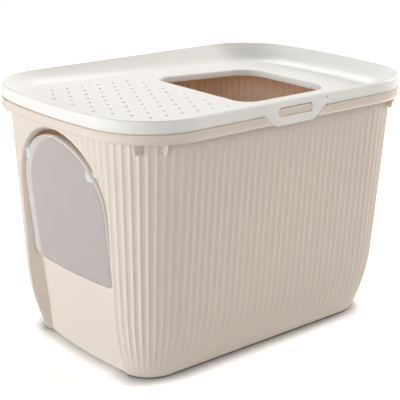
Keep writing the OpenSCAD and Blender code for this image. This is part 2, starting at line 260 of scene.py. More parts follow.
def fill_region(points: Array, loops: Sequence[Array], inner: Array) -> Array:
    """Triangles between an outer loop and the loops inside it, through free points.

    Args:
        points: array (n, 2), all points in one drawing plane.
        loops: index arrays of the closed loops, the outer one first.
        inner: indices of the free points.

    Returns:
        Array (m, 3) of indices into points.
    """
    used = np.concatenate([*loops, inner]).astype(int)
    edges, start = [], 0
    for loop in loops:
        size = len(loop)
        edges += [(start + i, start + (i + 1) % size) for i in range(size)]
        start += size
    flat = [Vector((float(x), float(y))) for x, y in points[used]]
    _, _, faces, origins, _, _ = geometry.delaunay_2d_cdt(flat, edges, [], 0, 1e-6, True)
    kept = [[origins[v][0] for v in face] for face in faces if all(origins[v] for v in face)]
    triangles = used[np.array(kept)]
    centres = points[triangles].mean(axis=1)
    return triangles[inside_loops(centres, [points[loop] for loop in loops])]


class MeshBuilder:
    """Collects points and faces in millimetres and writes them as one Blender mesh."""

    def __init__(self) -> None:
        """Starts with no points and no faces."""
        self.blocks: list[Array] = []
        self.faces: list[Array] = []
        self.count = 0

    def add(self, points: Array) -> Array:
        """Adds points.

        Args:
            points: array of points, last axis x, y, z.

        Returns:
            Their indices, in the array's own shape.
        """
        flat = np.asarray(points, float).reshape(-1, 3)
        indices = np.arange(self.count, self.count + len(flat)).reshape(np.shape(points)[:-1])
        self.blocks.append(flat)
        self.count += len(flat)
        return indices

    def strip(self, first: Array, second: Array, closed: bool = True) -> None:
        """Adds quads between two rows of points.

        Args:
            first: indices of one row.
            second: indices of the other row, as many.
            closed: whether the ends of the rows are joined too.
        """
        a, b = (first, np.roll(first, -1)), (second, np.roll(second, -1))
        quads = np.stack([a[0], a[1], b[1], b[0]], axis=1)
        self.faces.append(quads if closed else quads[:-1])

    def loft(self, rings: Sequence[Array], looped: bool = False) -> list[Array]:
        """Adds rings of points and the quads between neighbours.

        Args:
            rings: arrays (n, 3) of the same length.
            looped: whether the last ring also joins the first.

        Returns:
            The rings' indices.
        """
        made = [self.add(ring) for ring in rings]
        for first, second in zip(made, made[1:] + (made[:1] if looped else [])):
            self.strip(first, second)
        return made

    def fan(self, ring: Array, centre: Sequence[float]) -> None:
        """Closes a ring with triangles to a centre point.

        Args:
            ring: indices of the ring's points.
            centre: x, y and z of the centre point.
        """
        middle = self.add(np.array([centre]))[0]
        following = np.roll(ring, -1)
        self.faces.append(np.stack([ring, following, np.full_like(ring, middle)], axis=1))

    def points(self) -> Array:
        """All points so far, array (n, 3)."""
        return np.concatenate(self.blocks)

    def to_object(self, name: str, attributes: dict[str, Array] | None = None) -> Object:
        """Writes the mesh, with outward normals and sharp edges by angle.

        Args:
            name: name of the piece.
            attributes: point attributes, (n,) as floats and (n, 3) as vectors.

        Returns:
            The object, at the origin, linked to the scene.
        """
        mesh = bpy.data.meshes.new(name)
        faces = [face for block in self.faces for face in block.tolist()]
        mesh.from_pydata((self.points() * MM).tolist(), [], faces)
        for label, values in (attributes or {}).items():
            vector = values.ndim == 2
            layer = mesh.attributes.new(label, "FLOAT_VECTOR" if vector else "FLOAT", "POINT")
            layer.data.foreach_set("vector" if vector else "value", values.astype(np.float32).ravel())
        obj = bpy.data.objects.new(name, mesh)
        bpy.context.scene.collection.objects.link(obj)
        face_outwards(obj)
        return obj


def signed_volume(mesh: Mesh) -> float:
    """Volume inside a closed mesh, negative where its faces look inwards.

    Args:
        mesh: the closed mesh.

    Returns:
        The volume in cubic metres.
    """
    mesh.calc_loop_triangles()
    corners = np.zeros(len(mesh.loop_triangles) * 3, np.int32)
    mesh.loop_triangles.foreach_get("vertices", corners)
    points = np.zeros(len(mesh.vertices) * 3, np.float32)
    mesh.vertices.foreach_get("co", points)
    a, b, c = np.moveaxis(points.reshape(-1, 3)[corners.reshape(-1, 3)].astype(float), 1, 0)
    return float(np.sum(a * np.cross(b, c)) / 6)


def face_outwards(obj: Object) -> None:
    """Makes a closed mesh's faces agree and look outwards, and shades it by angle.

    Args:
        obj: the piece, whose mesh is changed in place.
    """
    work = bmesh.new()
    work.from_mesh(obj.data)
    bmesh.ops.remove_doubles(work, verts=work.verts, dist=WELD)
    bmesh.ops.delete(work, geom=[v for v in work.verts if not v.link_faces], context="VERTS")
    bmesh.ops.recalc_face_normals(work, faces=work.faces)
    work.to_mesh(obj.data)
    work.free()
    if signed_volume(obj.data) < 0:
        obj.data.flip_normals()
    shade_by_angle(obj)


def shade_by_angle(obj: Object) -> None:
    """Shades a mesh smooth with its edges sharp beyond SHARP_ANGLE."""
    obj.data.shade_smooth()
    obj.data.set_sharp_from_angle(angle=SHARP_ANGLE)


def bake(obj: Object) -> Object:
    """Turns an object's modifiers into plain mesh and removes them.

    Args:
        obj: the object whose evaluated mesh replaces its own.

    Returns:
        The same object.
    """
    graph = bpy.context.evaluated_depsgraph_get()
    baked = bpy.data.meshes.new_from_object(obj.evaluated_get(graph))
    obj.modifiers.clear()
    old = obj.data
    obj.data = baked
    bpy.data.meshes.remove(old)
    baked.name = obj.name
    shade_by_angle(obj)
    return obj


def subtract(obj: Object, cutters: Sequence[Object]) -> Object:
    """Cuts closed meshes out of a piece and removes the cutters.

    Args:
        obj: the piece.
        cutters: closed meshes to take away from it.

    Returns:
        The piece.
    """
    for cutter in cutters:
        modifier = obj.modifiers.new("cut", "BOOLEAN")
        modifier.operation = "DIFFERENCE"
        modifier.solver = "EXACT"
        modifier.object = cutter
    bake(obj)
    for cutter in cutters:
        bpy.data.objects.remove(cutter)
    return obj


@dataclass
class Tree:
    """A geometry node tree with named inputs, run once on an object."""

    name: str
    inputs: dict[str, tuple[str, object]]
    group: GeometryNodeTree = field(init=False)
    source: Node = field(init=False)

    def __post_init__(self) -> None:
        """Makes the tree with its interface and its input node."""
        self.group = bpy.data.node_groups.new(self.name, "GeometryNodeTree")
        face = self.group.interface
        face.new_socket("Geometry", in_out="INPUT", socket_type="NodeSocketGeometry")
        face.new_socket("Geometry", in_out="OUTPUT", socket_type="NodeSocketGeometry")
        for label, (kind, _) in self.inputs.items():
            face.new_socket(label, in_out="INPUT", socket_type=kind)
        self.source = self.group.nodes.new("NodeGroupInput")

    def __getitem__(self, label: str) -> NodeSocket:
        """Output socket of a named input."""
        return self.source.outputs[label]

    def add(
        self, kind: str, inputs: dict[str, object] | None = None, **settings: object
    ) -> NodeSocket:
        """Adds a node and gives its first visible output."""
        node = add_node(self.group, kind, inputs, **settings)
        return next(s for s in node.outputs if s.enabled)

    def finish(self, shape: NodeSocket, material: Material) -> None:
        """Ends the tree in Realize Instances and Set Material.

        Args:
            shape: the geometry that the tree has made.
            material: the plastic that it gets.
        """
        real = self.add("GeometryNodeRealizeInstances", {"Geometry": shape})
        done = self.add("GeometryNodeSetMaterial", {"Geometry": real, "Material": material})
        out = self.group.nodes.new("NodeGroupOutput")
        self.group.links.new(done, out.inputs["Geometry"])

    def run(self, obj: Object) -> Object:
        """Applies the tree to an object with this tree's input values.

        Args:
            obj: the object that the tree works on.

        Returns:
            The same object, with the result as plain mesh.
        """
        modifier = obj.modifiers.new(self.name, "NODES")
        modifier.node_group = self.group
        for item in self.group.interface.items_tree:
            if item.in_out == "INPUT" and item.name in self.inputs:
                modifier[item.identifier] = self.inputs[item.name][1]
        return bake(obj)


# ---- finishes


@dataclass(frozen=True)
class Finish:
    """A moulded plastic: its colour, gloss and mould texture."""

    name: str
    colour: str
    shade: str
    roughness: float
    grain_mm: float
    grain_depth_mm: float
    cloud_mm: float
    glow: str = "#FFCB84"
    ior: float = 1.49
    coat: float = 0.0
    transmission: float = 0.0
    translucent: float = 0.0
    wear: float = 0.02
    wear_span: float = 0.4
    coat_roughness: float = 0.2

    def material(self) -> Material:
        """Builds the Principled material from Object coordinates.

        Returns:
            The material; its patterns are sized from real millimetres.
        """
        made = bpy.data.materials.new(self.name)
        made.use_nodes = True
        tree = made.node_tree
        tree.nodes.clear()
        place = add_node(tree, "ShaderNodeTexCoord").outputs["Object"]
        # Cloud is the slow drift of tone from uneven cooling, grain the pits of the mould, and wear
        # the patches where the gloss moves a little. Object units are metres.
        noises = {}
        for label, size_mm, detail, rough in (
            ("cloud", self.cloud_mm, 2.0, 0.5),
            ("grain", self.grain_mm, 1.0, 0.4),
            ("wear", self.wear_span * self.cloud_mm, 3.0, 0.5),
        ):
            sizes = {"Scale": 1 / (size_mm * MM), "Detail": detail, "Roughness": rough}
            noise = add_node(tree, "ShaderNodeTexNoise", {"Vector": place, **sizes})
            noises[label] = noise.outputs["Fac"]
        tone = add_node(
            tree,
            "ShaderNodeMix",
            {
                "Factor_Float": noises["cloud"],
                "A_Color": srgb_to_linear(self.colour),
                "B_Color": srgb_to_linear(self.shade),
            },
            data_type="RGBA",
        )
        bump = add_node(
            tree,
            "ShaderNodeBump",
            {"Height": noises["grain"], "Strength": 1.0, "Distance": self.grain_depth_mm * MM},
        )
        gloss = add_node(
            tree,
            "ShaderNodeMapRange",
            {
                "Value": noises["wear"],
                "To Min": self.roughness - self.wear,
                "To Max": self.roughness + self.wear,
            },
        )
        shader = add_node(
            tree,
            "ShaderNodeBsdfPrincipled",
            {
                "Base Color": tone.outputs[2],
                "Roughness": gloss.outputs["Result"],
                "IOR": self.ior,
                "Coat Weight": self.coat,
                "Coat Roughness": self.coat_roughness,
                "Transmission Weight": self.transmission,
                "Normal": bump.outputs["Normal"],
            },
        )
        # Unpainted polypropylene lets some light through its wall, which warms the inside.
        through = add_node(tree, "ShaderNodeBsdfTranslucent", {"Color": srgb_to_linear(self.glow)})
        both = add_node(tree, "ShaderNodeMixShader", {"Fac": self.translucent})
        tree.links.new(shader.outputs["BSDF"], both.inputs[1])
        tree.links.new(through.outputs["BSDF"], both.inputs[2])
        out = tree.nodes.new("ShaderNodeOutputMaterial")
        tree.links.new(both.outputs["Shader"], out.inputs["Surface"])
        self.refine(tree, tone.outputs[2], gloss.outputs["Result"], shader)
        return made

    def refine(self, tree: NodeTree, tone: NodeSocket, gloss: NodeSocket, shader: Node) -> None:
        """Place for a finish to add its own nodes; a plain plastic adds none.

        Args:
            tree: the material's node tree.
            tone: the plain plastic's colour.
            gloss: the plain plastic's roughness.
            shader: the Principled node that both feed.
        """


@dataclass(frozen=True)
class FrostedFinish(Finish):
    """Frosted plastic whose frosting starts a little inside its clear, rounded edge, with light painted on
    it.

    The mesh's edge_mm says how far in from the edge a point lies, and is negative on the turned-in
    wall. The pairs painted_highlight_mm, clear_from, clear_to and wall_mm say where on it a share changes.
    """

    # band is the colour of a painted band of light over the turned-in edge; edge is a near-white painted
    # highlight along the outline.
    band: str = "#E9E8E5"
    edge: str = "#FBFAF8"
    painted_band_shift: float = 18.0
    painted_band_radius: float = 97.5
    arch_drop: float = 58.0
    hinge_z: float = 303.0
    painted_band_share: float = 0.75
    # Inset range and strength of the painted highlight along the edge.
    painted_highlight_mm: tuple[float, float] = (1.4, 2.6)
    painted_highlight_share: float = 0.95
    clear_from: tuple[float, float] = (0.9, 2.0)
    clear_to: tuple[float, float] = (3.6, 4.6)
    clear_share: float = 0.45
    wall_mm: tuple[float, float] = (-0.9, -0.3)
    clear_roughness: float = 0.12
    clear_transmission: float = 0.85

    def refine(self, tree: NodeTree, tone: NodeSocket, gloss: NodeSocket, shader: Node) -> None:
        """Adds the painted band of light over the turned-in edge, the clear strip and the painted highlight
        along the outline.

        Args:
            tree: the material's node tree.
            tone: the plain plastic's colour.
            gloss: the plain plastic's roughness.
            shader: the Principled node that both feed.
        """
        place = add_node(tree, "ShaderNodeTexCoord").outputs["Object"]
        parts = add_node(tree, "ShaderNodeSeparateXYZ", {"Vector": place})
        # Painted light: a lighter band where the turned-in edge behind the pane catches light, an arch
        # moved sideways by a set shift.
        across = add_node(
            tree,
            "ShaderNodeMath",
            {"Value": parts.outputs["Y"], "Value_001": self.painted_band_shift * MM},
            operation="ADD",
        )
        up = add_node(
            tree,
            "ShaderNodeMath",
            {"Value": parts.outputs["Z"], "Value_001": (self.arch_drop - self.hinge_z) * MM},
            operation="ADD",
        )
        up = add_node(
            tree, "ShaderNodeMath", {"Value": up.outputs[0], "Value_001": 0.0}, operation="MAXIMUM"
        )
        spot = add_node(tree, "ShaderNodeCombineXYZ", {"X": across.outputs[0], "Y": up.outputs[0]})
        reach = add_node(
            tree, "ShaderNodeVectorMath", {"Vector": spot.outputs["Vector"]}, operation="LENGTH"
        )
        # Distance in from the flap's edge, in millimetres, kept on the mesh's points.
        inset = add_node(tree, "ShaderNodeAttribute", attribute_name="edge_mm")
        shares = {}
        radius = self.painted_band_radius * MM
        # The first two shares paint light into the colour: a lighter band and a near-white edge highlight.
        # The rest set how clear the plastic is.
        for key, value, (low, high), start, end in (
            ("painted_band", reach.outputs["Value"], (radius - MM, radius + MM), 0.0, self.painted_band_share),
            ("outline", inset.outputs["Fac"], self.painted_highlight_mm, self.painted_highlight_share, 0.0),
            ("rising", inset.outputs["Fac"], self.clear_from, 0.0, 1.0),
            ("falling", inset.outputs["Fac"], self.clear_to, self.clear_share, 0.0),
            ("wall", inset.outputs["Fac"], self.wall_mm, 1.0, 0.0),
        ):
            node = add_node(
                tree,
                "ShaderNodeMapRange",
                {"Value": value, "From Min": low, "From Max": high, "To Min": start, "To Max": end},
                interpolation_type="SMOOTHSTEP",
            )
            shares[key] = node.outputs["Result"]
        clear = add_node(
            tree,
            "ShaderNodeMath",
            {"Value": shares["rising"], "Value_001": shares["falling"]},
            operation="MULTIPLY",
        )
        clear = add_node(
            tree,
            "ShaderNodeMath",
            {"Value": clear.outputs[0], "Value_001": shares["wall"]},
            operation="MAXIMUM",
        )
        # Painted light mixed into the colour: first the lighter band over the turned-in edge, then the
        # near-white painted highlight along the edge.
        for share, hue in (("painted_band", self.band), ("outline", self.edge)):
            mixed = add_node(
                tree,
                "ShaderNodeMix",
                {"Factor_Float": shares[share], "A_Color": tone, "B_Color": srgb_to_linear(hue)},
                data_type="RGBA",
            )
            tone = mixed.outputs[2]
        tree.links.new(tone, shader.inputs["Base Color"])
        for label, frosted, bare in (
            ("Roughness", gloss, self.clear_roughness),
            ("Transmission Weight", self.transmission, self.clear_transmission),
        ):
            mixed = add_node(
                tree, "ShaderNodeMapRange", {"Value": clear.outputs[0], "To Min": frosted, "To Max": bare}
            )
            tree.links.new(mixed.outputs["Result"], shader.inputs[label])


# Moulded polypropylene with a fine spark-eroded grain: a soft, broad sheen on warm beige.
BIN_FINISH = Finish(
    "polypropylene_beige_spark_eroded", "#EDE8DE", "#EAE5DB", 0.42, 0.5, 0.012, 60.0, translucent=0.18
)
# Moulded polypropylene from a polished mould: a clearer highlight that runs round the rolled rim.
LID_FINISH = Finish(
    "polypropylene_white_polished", "#F4F3EF", "#F2F1EC", 0.4, 1.2, 0.003, 90.0, "#FBF0DF",
    translucent=0.05, wear=0.01,
)
# Natural polypropylene from a blasted mould: light passes but is scattered, so it reads frosted. Its colour
# also carries a painted band of light and a painted edge highlight.
FLAP_FINISH = FrostedFinish(
    "polypropylene_natural_frosted", "#D0C8C6", "#CCC4C2", 0.45, 0.4, 0.012, 70.0, transmission=0.3
)
# The same plastic in thick, smooth bosses: clearer and whiter than the frosted pane.
EAR_FINISH = Finish(
    "polypropylene_natural_polished", "#E9E6E4", "#E4E1DF", 0.25, 1.5, 0.003, 30.0, transmission=0.15
)


# ---- plan and planes


@dataclass(frozen=True)
class PlanOutline:
    """Oblong plan of the box: bowed ends, round corners and straight sides."""

    length: float = 585.0
    width: float = 396.0
    corner_radius: float = 107.0
    end_radius: float = 782.0
    wall_inset: float = 12.4

    @property
    def corner_y(self) -> float:
        """Y of the corners' centres."""
        return self.width / 2 - self.corner_radius

    @property
    def bow(self) -> float:
        """Half angle of an end's arc."""
        return math.asin(self.corner_y / (self.end_radius - self.corner_radius))

    @property
    def corner_x(self) -> float:
        """X of the corners' centres."""
        reach = (self.end_radius - self.corner_radius) * math.cos(self.bow)
        return self.length / 2 - self.end_radius + reach

    @property
    def end_run(self) -> float:
        """Length of half an end's arc under the rim."""
        return (self.end_radius - self.wall_inset) * self.bow

    @property
    def corner_run(self) -> float:
        """Length of a corner's arc under the rim."""
        return (self.corner_radius - self.wall_inset) * (math.pi / 2 - self.bow)

    @property
    def quarter(self) -> float:
        """Length of a quarter of the outline under the rim."""
        return self.end_run + self.corner_run + self.corner_x

    def at(self, run: Array, inset: Array | float) -> tuple[Array, Array]:
        """Points of the outline moved in by an inset.

        Args:
            run: length along the outline from the middle of the +X end, towards +Y.
            inset: distance in from the rim's outer face.

        Returns:
            Points (n, 2) and their outward unit normals (n, 2).
        """
        turns = np.floor(run / self.quarter + 1e-9)
        part = run - turns * self.quarter
        quadrant = turns.astype(int) % 4
        part = np.where(quadrant % 2 == 0, part, self.quarter - part)
        end_angle = part / (self.end_radius - self.wall_inset)
        corner_angle = self.bow + (part - self.end_run) / (self.corner_radius - self.wall_inset)
        on_end = part <= self.end_run
        on_corner = part <= self.end_run + self.corner_run
        angle = np.where(on_end, end_angle, np.where(on_corner, corner_angle, math.pi / 2))
        end_reach, corner_reach = self.end_radius - inset, self.corner_radius - inset
        base_x = self.length / 2 - self.end_radius
        side_x = self.corner_x + self.end_run + self.corner_run - part
        x = np.where(
            on_end,
            base_x + end_reach * np.cos(angle),
            np.where(on_corner, self.corner_x + corner_reach * np.cos(angle), side_x),
        )
        y = np.where(
            on_end,
            end_reach * np.sin(angle),
            np.where(on_corner, self.corner_y + corner_reach * np.sin(angle), self.width / 2 - inset),
        )
        sx = np.where((quadrant == 0) | (quadrant == 3), 1.0, -1.0)
        sy = np.where(quadrant < 2, 1.0, -1.0)
        normal = np.stack([np.cos(angle) * sx, np.sin(angle) * sy], axis=-1)
        return np.stack([x * sx, y * sy], axis=-1), normal

    def ring(self, run: Array, inset: Array | float, z: Array | float) -> Array:
        """Points of the outline at a height, array (n, 3)."""
        flat, _ = self.at(run, inset)
        return np.concatenate([flat, np.broadcast_to(z, run.shape)[..., None]], axis=-1)

    def corner_reach(self, inset: float, off: float) -> float:
        """Distance of a corner's arc from its centre, along a line that passes it at a distance off."""
        return math.sqrt((self.corner_radius - inset) ** 2 - off**2)

    def runs(self, end: int, corner: int, side: int) -> Array:
        """Places along the whole outline.

        Args:
            end: steps on half an end.
            corner: steps on a corner.
            side: steps on half a side.

        Returns:
            Lengths along the outline, once round.
        """
        stops = [0.0, self.end_run, self.end_run + self.corner_run, self.quarter]
        quarter = np.concatenate(
            [np.linspace(a, b, n, endpoint=False) for a, b, n in zip(stops, stops[1:], (end, corner, side))]
        )
        mirrored = (2 * self.quarter - quarter)[::-1]
        half = np.concatenate([quarter, [self.quarter], mirrored[:-1]])
        return np.concatenate([half, half + 2 * self.quarter])

    def locate(self, flat: Array, inset: Array) -> tuple[Array, Array]:
        """Where points lie along the outline; the reverse of at().

        Args:
            flat: points (n, 2).
            inset: their distances in from the rim's outer face.

        Returns:
            Lengths along the outline from the +X end, and outward unit normals (n, 2).
        """
        off_x, off_y = np.abs(flat[:, 0]), np.abs(flat[:, 1])
        _, end_run, end_angle = self.end_place(off_y, inset)
        straight = off_x <= self.corner_x
        part = np.where(straight, self.quarter - off_x, end_run)
        angle = np.where(straight, math.pi / 2, end_angle)
        sx, sy = np.where(flat[:, 0] < 0, -1.0, 1.0), np.where(flat[:, 1] < 0, -1.0, 1.0)
        upper = np.where(sx > 0, part, 2 * self.quarter - part)
        run = np.where(sy > 0, upper, 4 * self.quarter - upper)
        return run, np.column_stack([np.cos(angle) * sx, np.sin(angle) * sy])

    def end_place(self, y: Array, inset: Array) -> tuple[Array, Array, Array]:
        """Where an end and its corners lie at a distance off the long axis.

        Args:
            y: distance off the axis, signed.
            inset: distance in from the rim's outer face.

        Returns:
            X as a positive number, length from the end's middle, and the normal's angle off X.
        """
        off = np.abs(y)
        end_reach, corner_reach = self.end_radius - inset, self.corner_radius - inset
        on_end = off <= end_reach * math.sin(self.bow)
        corner_off = np.clip((off - self.corner_y) / corner_reach, 0.0, 1.0)
        angle = np.where(on_end, np.arcsin(np.clip(off / end_reach, 0, 1)), np.arcsin(corner_off))
        x = np.where(
            on_end,
            self.length / 2 - self.end_radius + end_reach * np.cos(angle),
            self.corner_x + corner_reach * np.cos(angle),
        )
        run = np.where(
            on_end,
            angle * (self.end_radius - self.wall_inset),
            self.end_run + (angle - self.bow) * (self.corner_radius - self.wall_inset),
        )
        return x, run, angle


PLAN = PlanOutline()


@dataclass(frozen=True)
class DoorPlane:
    """Leaning plane of the doorway: origin on the hinge axis, x across, y up, z out of the bin."""

    hinge_x: float = -262.7
    hinge_z: float = 303.0
    lean: float = math.radians(6.6)

    def to_world(self, points: Array) -> Array:
        """Carries points from this plane into the frame.

        Args:
            points: array of points of this plane, last axis x, y, z.

        Returns:
            The same points in the frame's axes.
        """
        x, y, z = np.moveaxis(points, -1, 0)
        s, c = math.sin(self.lean), math.cos(self.lean)
        return np.stack([self.hinge_x - z * c - y * s, -x, self.hinge_z - z * s + y * c], axis=-1)

    def from_world(self, points: Array) -> Array:
        """Carries points from the frame into this plane.

        Args:
            points: array of points in the frame's axes, last axis x, y, z.

        Returns:
            The same points in this plane's axes.
        """
        s, c = math.sin(self.lean), math.cos(self.lean)
        out, up = points[..., 0] - self.hinge_x, points[..., 2] - self.hinge_z
        return np.stack([-points[..., 1], -s * out + c * up, -(c * out + s * up)], axis=-1)


DOOR = DoorPlane()


def slab(
    make: MeshBuilder,
    outline: Array,
    insets: tuple[float, float],
    radius: Callable[[Array], Array],
    hole: Array | None = None,
    turn: float = 0.0,
) -> None:
    """Upright plate on a long side with rounded edges, in the front side's XZ plane.

    Args:
        make: builder that gets the plate.
        outline: outer loop (n, 2) of x and z.
        insets: inset of the plate's outer and inner face from the rim's outer face.
        radius: edge radius for points (n, 2) of a loop.
        hole: loop of an opening, or None.
        turn: turn about Z that takes the front side to the plate's side.
    """
    outer, inner = insets
    half = PLAN.width / 2
    loops = [outline] if hole is None else [outline, hole]
    fronts, backs = [], []
    for number, loop in enumerate(loops):
        normal = loop_normals(loop) * (-1.0 if number else 1.0)
        size = radius(loop)
        rings = []
        angles = np.linspace(0, math.pi / 2, 6)
        for face, way in ((outer, 1.0), (inner, -1.0)):
            for a in angles if way > 0 else angles[::-1]:
                flat = loop - normal * (size * (1 - math.sin(a)))[:, None]
                depth = face + way * size * (1 - math.cos(a))
                rings.append(np.stack([flat[:, 0], depth - half, flat[:, 1]], axis=1))
        made = make.loft([turned(ring, turn) for ring in rings])
        fronts.append(made[0])
        backs.append(made[-1])
    plane = turned(make.points(), -turn)[:, [0, 2]]
    for group in (fronts, backs):
        make.faces.append(fill_region(plane, group, np.array([], int)))


# ---- bin


# A height on the wall and its place above the leaning doorway plane depend on each other. These
# are the steps in which the two settle, and where the first of them starts, in millimetres.
SKIN_START = 15.0
SKIN_STEPS = 9
SUNK_STEPS = 12


@dataclass
class BinWall:
    """Fluted, drafted wall with its base and the arched recess of the doorway.

    Names that start with way_ are of the doorway's opening. Those with patch_, band_ and columns
    say where the mesh of the recess meets the wall's plain rings.
    """

    top: float = 375.3
    rim_low: float = 361.0
    draft: float = 0.062
    roll_height: float = 110.0
    roll_in: float = 17.0
    roll_unit: float = 1e4
    edge_height: float = 12.0
    edge_pull: float = 4.74
    edge_in: float = 10.8
    wall: float = 2.4
    base: float = 3.0
    hollow: float = 1.2
    foot_ring: float = 26.0
    flute_pairs: int = 69
    flute_depth: float = 1.6
    flute_columns: int = 8
    flute_foot: float = 5.0
    flute_rise: float = 55.0
    flute_gap: float = 0.3
    flute_fade: float = 5.0
    arch_radius: float = 105.5
    arch_drop: float = 58.0
    arch_foot: float = 363.6
    sill_drop: float = 171.0
    flare: float = 0.58
    leg_run: float = 21.0
    leg_depth: float = 44.0
    floor_z: float = 2.2
    floor_blend: float = 1.4
    recess_back: float = 14.0
    recess_half: float = 135.0
    recess_low: float = -292.0
    side_growth: float = 1.1
    bow_limit: float = 400.0
    edge_blend: float = 3.2
    inner_blend: float = 4.0
    band_width: float = 16.0
    way_radius: float = 105.0
    way_clearance: float = 0.8
    columns: tuple[int, int] = (184, 368)
    patch_top: float = 370.0
    patch_low: float = 14.0
    door_end_x: float = -150.0

    @property
    def leg_lean(self) -> float:
        """Run of the recess's legs towards each other, for each millimetre of its depth."""
        return self.leg_run / (self.recess_back + self.leg_depth)

    def run_in(self, z: Array | float) -> Array:
        """Inset of the wall's outer face, with its draft, its roll and its rounded bottom edge.

        Args:
            z: heights above the ground.

        Returns:
            Distances in from the rim's outer face.
        """
        z = np.asarray(z, float)
        drafted = PLAN.wall_inset + self.draft * (self.rim_low - z)
        rolled = drafted + self.roll_in * np.maximum(self.roll_height - z, 0) ** 2 / self.roll_unit
        edge = float(PLAN.wall_inset + self.draft * (self.rim_low - self.edge_height))
        edge += self.roll_in * (self.roll_height - self.edge_height) ** 2 / self.roll_unit
        t = 1 - np.sqrt(np.clip(z / self.edge_height, 0, 1))
        pulled = 2 * (edge + self.edge_pull) * t * (1 - t)
        foot = edge * (1 - t) ** 2 + pulled + (edge + self.edge_in) * t**2
        return np.where(z < self.edge_height, foot, rolled)

    def lining(self, z: Array | float) -> Array:
        """Inset of the wall's inner face before the flutes, which show on both faces."""
        return self.run_in(z) + self.wall

    def depth_share(self, z: Array | float) -> Array:
        """Share of the flutes' depth at a height: they run out on the rolled foot."""
        return np.clip((np.asarray(z, float) - self.flute_foot) / self.flute_rise, 0.0, 1.0)

    def pit(self, x: Array, y: Array, grow: float) -> Array:
        """Height of the recess's bowed floor and flared side in the door's plane.

        Args:
            x: place across the doorway.
            y: place up the doorway.
            grow: thickness by which the surface is moved into the bin.

        Returns:
            Height above the door's plane.
        """
        near = np.minimum(np.abs(x), self.bow_limit)
        floor = self.floor_z - grow - (PLAN.end_radius - np.sqrt(PLAN.end_radius**2 - near**2))
        down = np.maximum(-self.arch_drop - y, 0) / (self.arch_foot - self.arch_drop)
        reach = np.where(down > 0, np.abs(x), np.hypot(x, y + self.arch_drop))
        run = self.leg_lean
        past = reach - self.arch_radius - self.side_growth * grow + run * self.recess_back * down
        side = past / (self.flare - run * down)
        return smooth_max(floor, self.floor_z + side, self.floor_blend)

    def skin(self, x: Array, y: Array, lined: bool) -> Array:
        """Height of the plain wall above the door's plane, found by going back and forth.

        Args:
            x: place across the doorway.
            y: place up the doorway.
            lined: true for the wall's inner face.

        Returns:
            Heights above the door's plane.
        """
        s, c = math.sin(DOOR.lean), math.cos(DOOR.lean)
        z = np.full_like(x, SKIN_START)
        for _ in range(SKIN_STEPS):
            height = DOOR.hinge_z - z * s + y * c
            inset = self.lining(height) if lined else self.run_in(height)
            out, _, _ = PLAN.end_place(x, inset)
            z = -((-out - DOOR.hinge_x) + y * s) / c
        return z

    def surface(self, x: Array, y: Array, lined: bool) -> tuple[Array, Array]:
        """Height of the wall with its recess, and how far the flutes reach there.

        Args:
            x: place across the doorway.
            y: place up the doorway.
            lined: true for the wall's inner face.

        Returns:
            Heights above the door's plane, and the flutes' share from 0 to 1.
        """
        skin = self.skin(x, y, lined)
        pit = self.pit(x, y, self.wall if lined else 0.0)
        blend = self.inner_blend if lined else self.edge_blend
        share = np.clip(((pit - skin) - self.flute_gap * blend) / self.flute_fade, 0.0, 1.0)
        return smooth_min(skin, pit, blend), share

    def sunk(self, ring: Array, grow: float) -> Array:
        """Moves a ring's points that lie in front of the recess back onto it, level by level.

        Args:
            ring: array (n, 3) of points.
            grow: thickness by which the recess is moved into the bin.

        Returns:
            The ring with those points moved.
        """
        s, c = math.sin(DOOR.lean), math.cos(DOOR.lean)
        out = ring.copy()
        near = (ring[:, 0] < 0) & (np.abs(ring[:, 1]) < self.recess_half)
        x, height = -ring[near, 1], ring[near, 2]
        z = np.zeros_like(x)
        for _ in range(SUNK_STEPS):
            y = (height - DOOR.hinge_z + z * s) / c
            z = self.pit(x, y, grow)
        back = DOOR.hinge_x - z * c - ((height - DOOR.hinge_z + z * s) / c) * s
        out[near, 0] = smooth_max(ring[near, 0], back, self.inner_blend)
        return out

    def doorway(self) -> Array:
        """Loop of the doorway's opening.

        Returns:
            Array (n, 2) in the door's plane.
        """
        angles = np.radians(np.linspace(0, 180, 150))
        arch = np.stack(
            [self.way_radius * np.cos(angles), self.way_radius * np.sin(angles) - self.arch_drop], axis=1
        )
        foot = np.array([[-self.way_radius, -self.sill_drop], [self.way_radius, -self.sill_drop]])
        return resampled(np.concatenate([arch, foot]), 3.0)

    def patch_points(self, way: Array, fine: float) -> Array:
        """Free points of the recess: bands that follow the arch, and a coarser grid on its floor.

        Args:
            way: the doorway's loop.
            fine: spacing along the bands.

        Returns:
            Array (n, 2) in the door's plane.
        """
        angles = np.arange(fine / self.arch_radius / 2, math.pi, fine / self.arch_radius)
        legs = np.arange(-self.arch_drop - fine / 2, self.recess_low, -fine)
        narrow = self.leg_lean * self.recess_back
        narrow = narrow * (-self.arch_drop - legs) / (self.arch_foot - self.arch_drop)
        offsets = (-6.0, -4.0, -2.4, -1.2, *np.arange(0.0, self.band_width - 0.9, 1.0))
        points = []
        for off in offsets:
            r = self.arch_radius + off
            points.append(np.stack([r * np.cos(angles), r * np.sin(angles) - self.arch_drop], axis=1))
            for side in (-1, 1):
                points.append(np.stack([side * (r - narrow), legs], axis=1))
        under_sill = np.arange(self.recess_low, -self.sill_drop - 3, 6.0)
        gx, gy = np.meshgrid(np.arange(-88, 88.1, 8.0), under_sill)
        points.append(np.stack([gx.ravel(), gy.ravel()], axis=1))
        found = np.concatenate(points)
        centre = way.mean(axis=0)
        out = (way - centre) / np.linalg.norm(way - centre, axis=1, keepdims=True)
        widened = way + self.way_clearance * out
        return found[~inside_loops(found, [widened])]

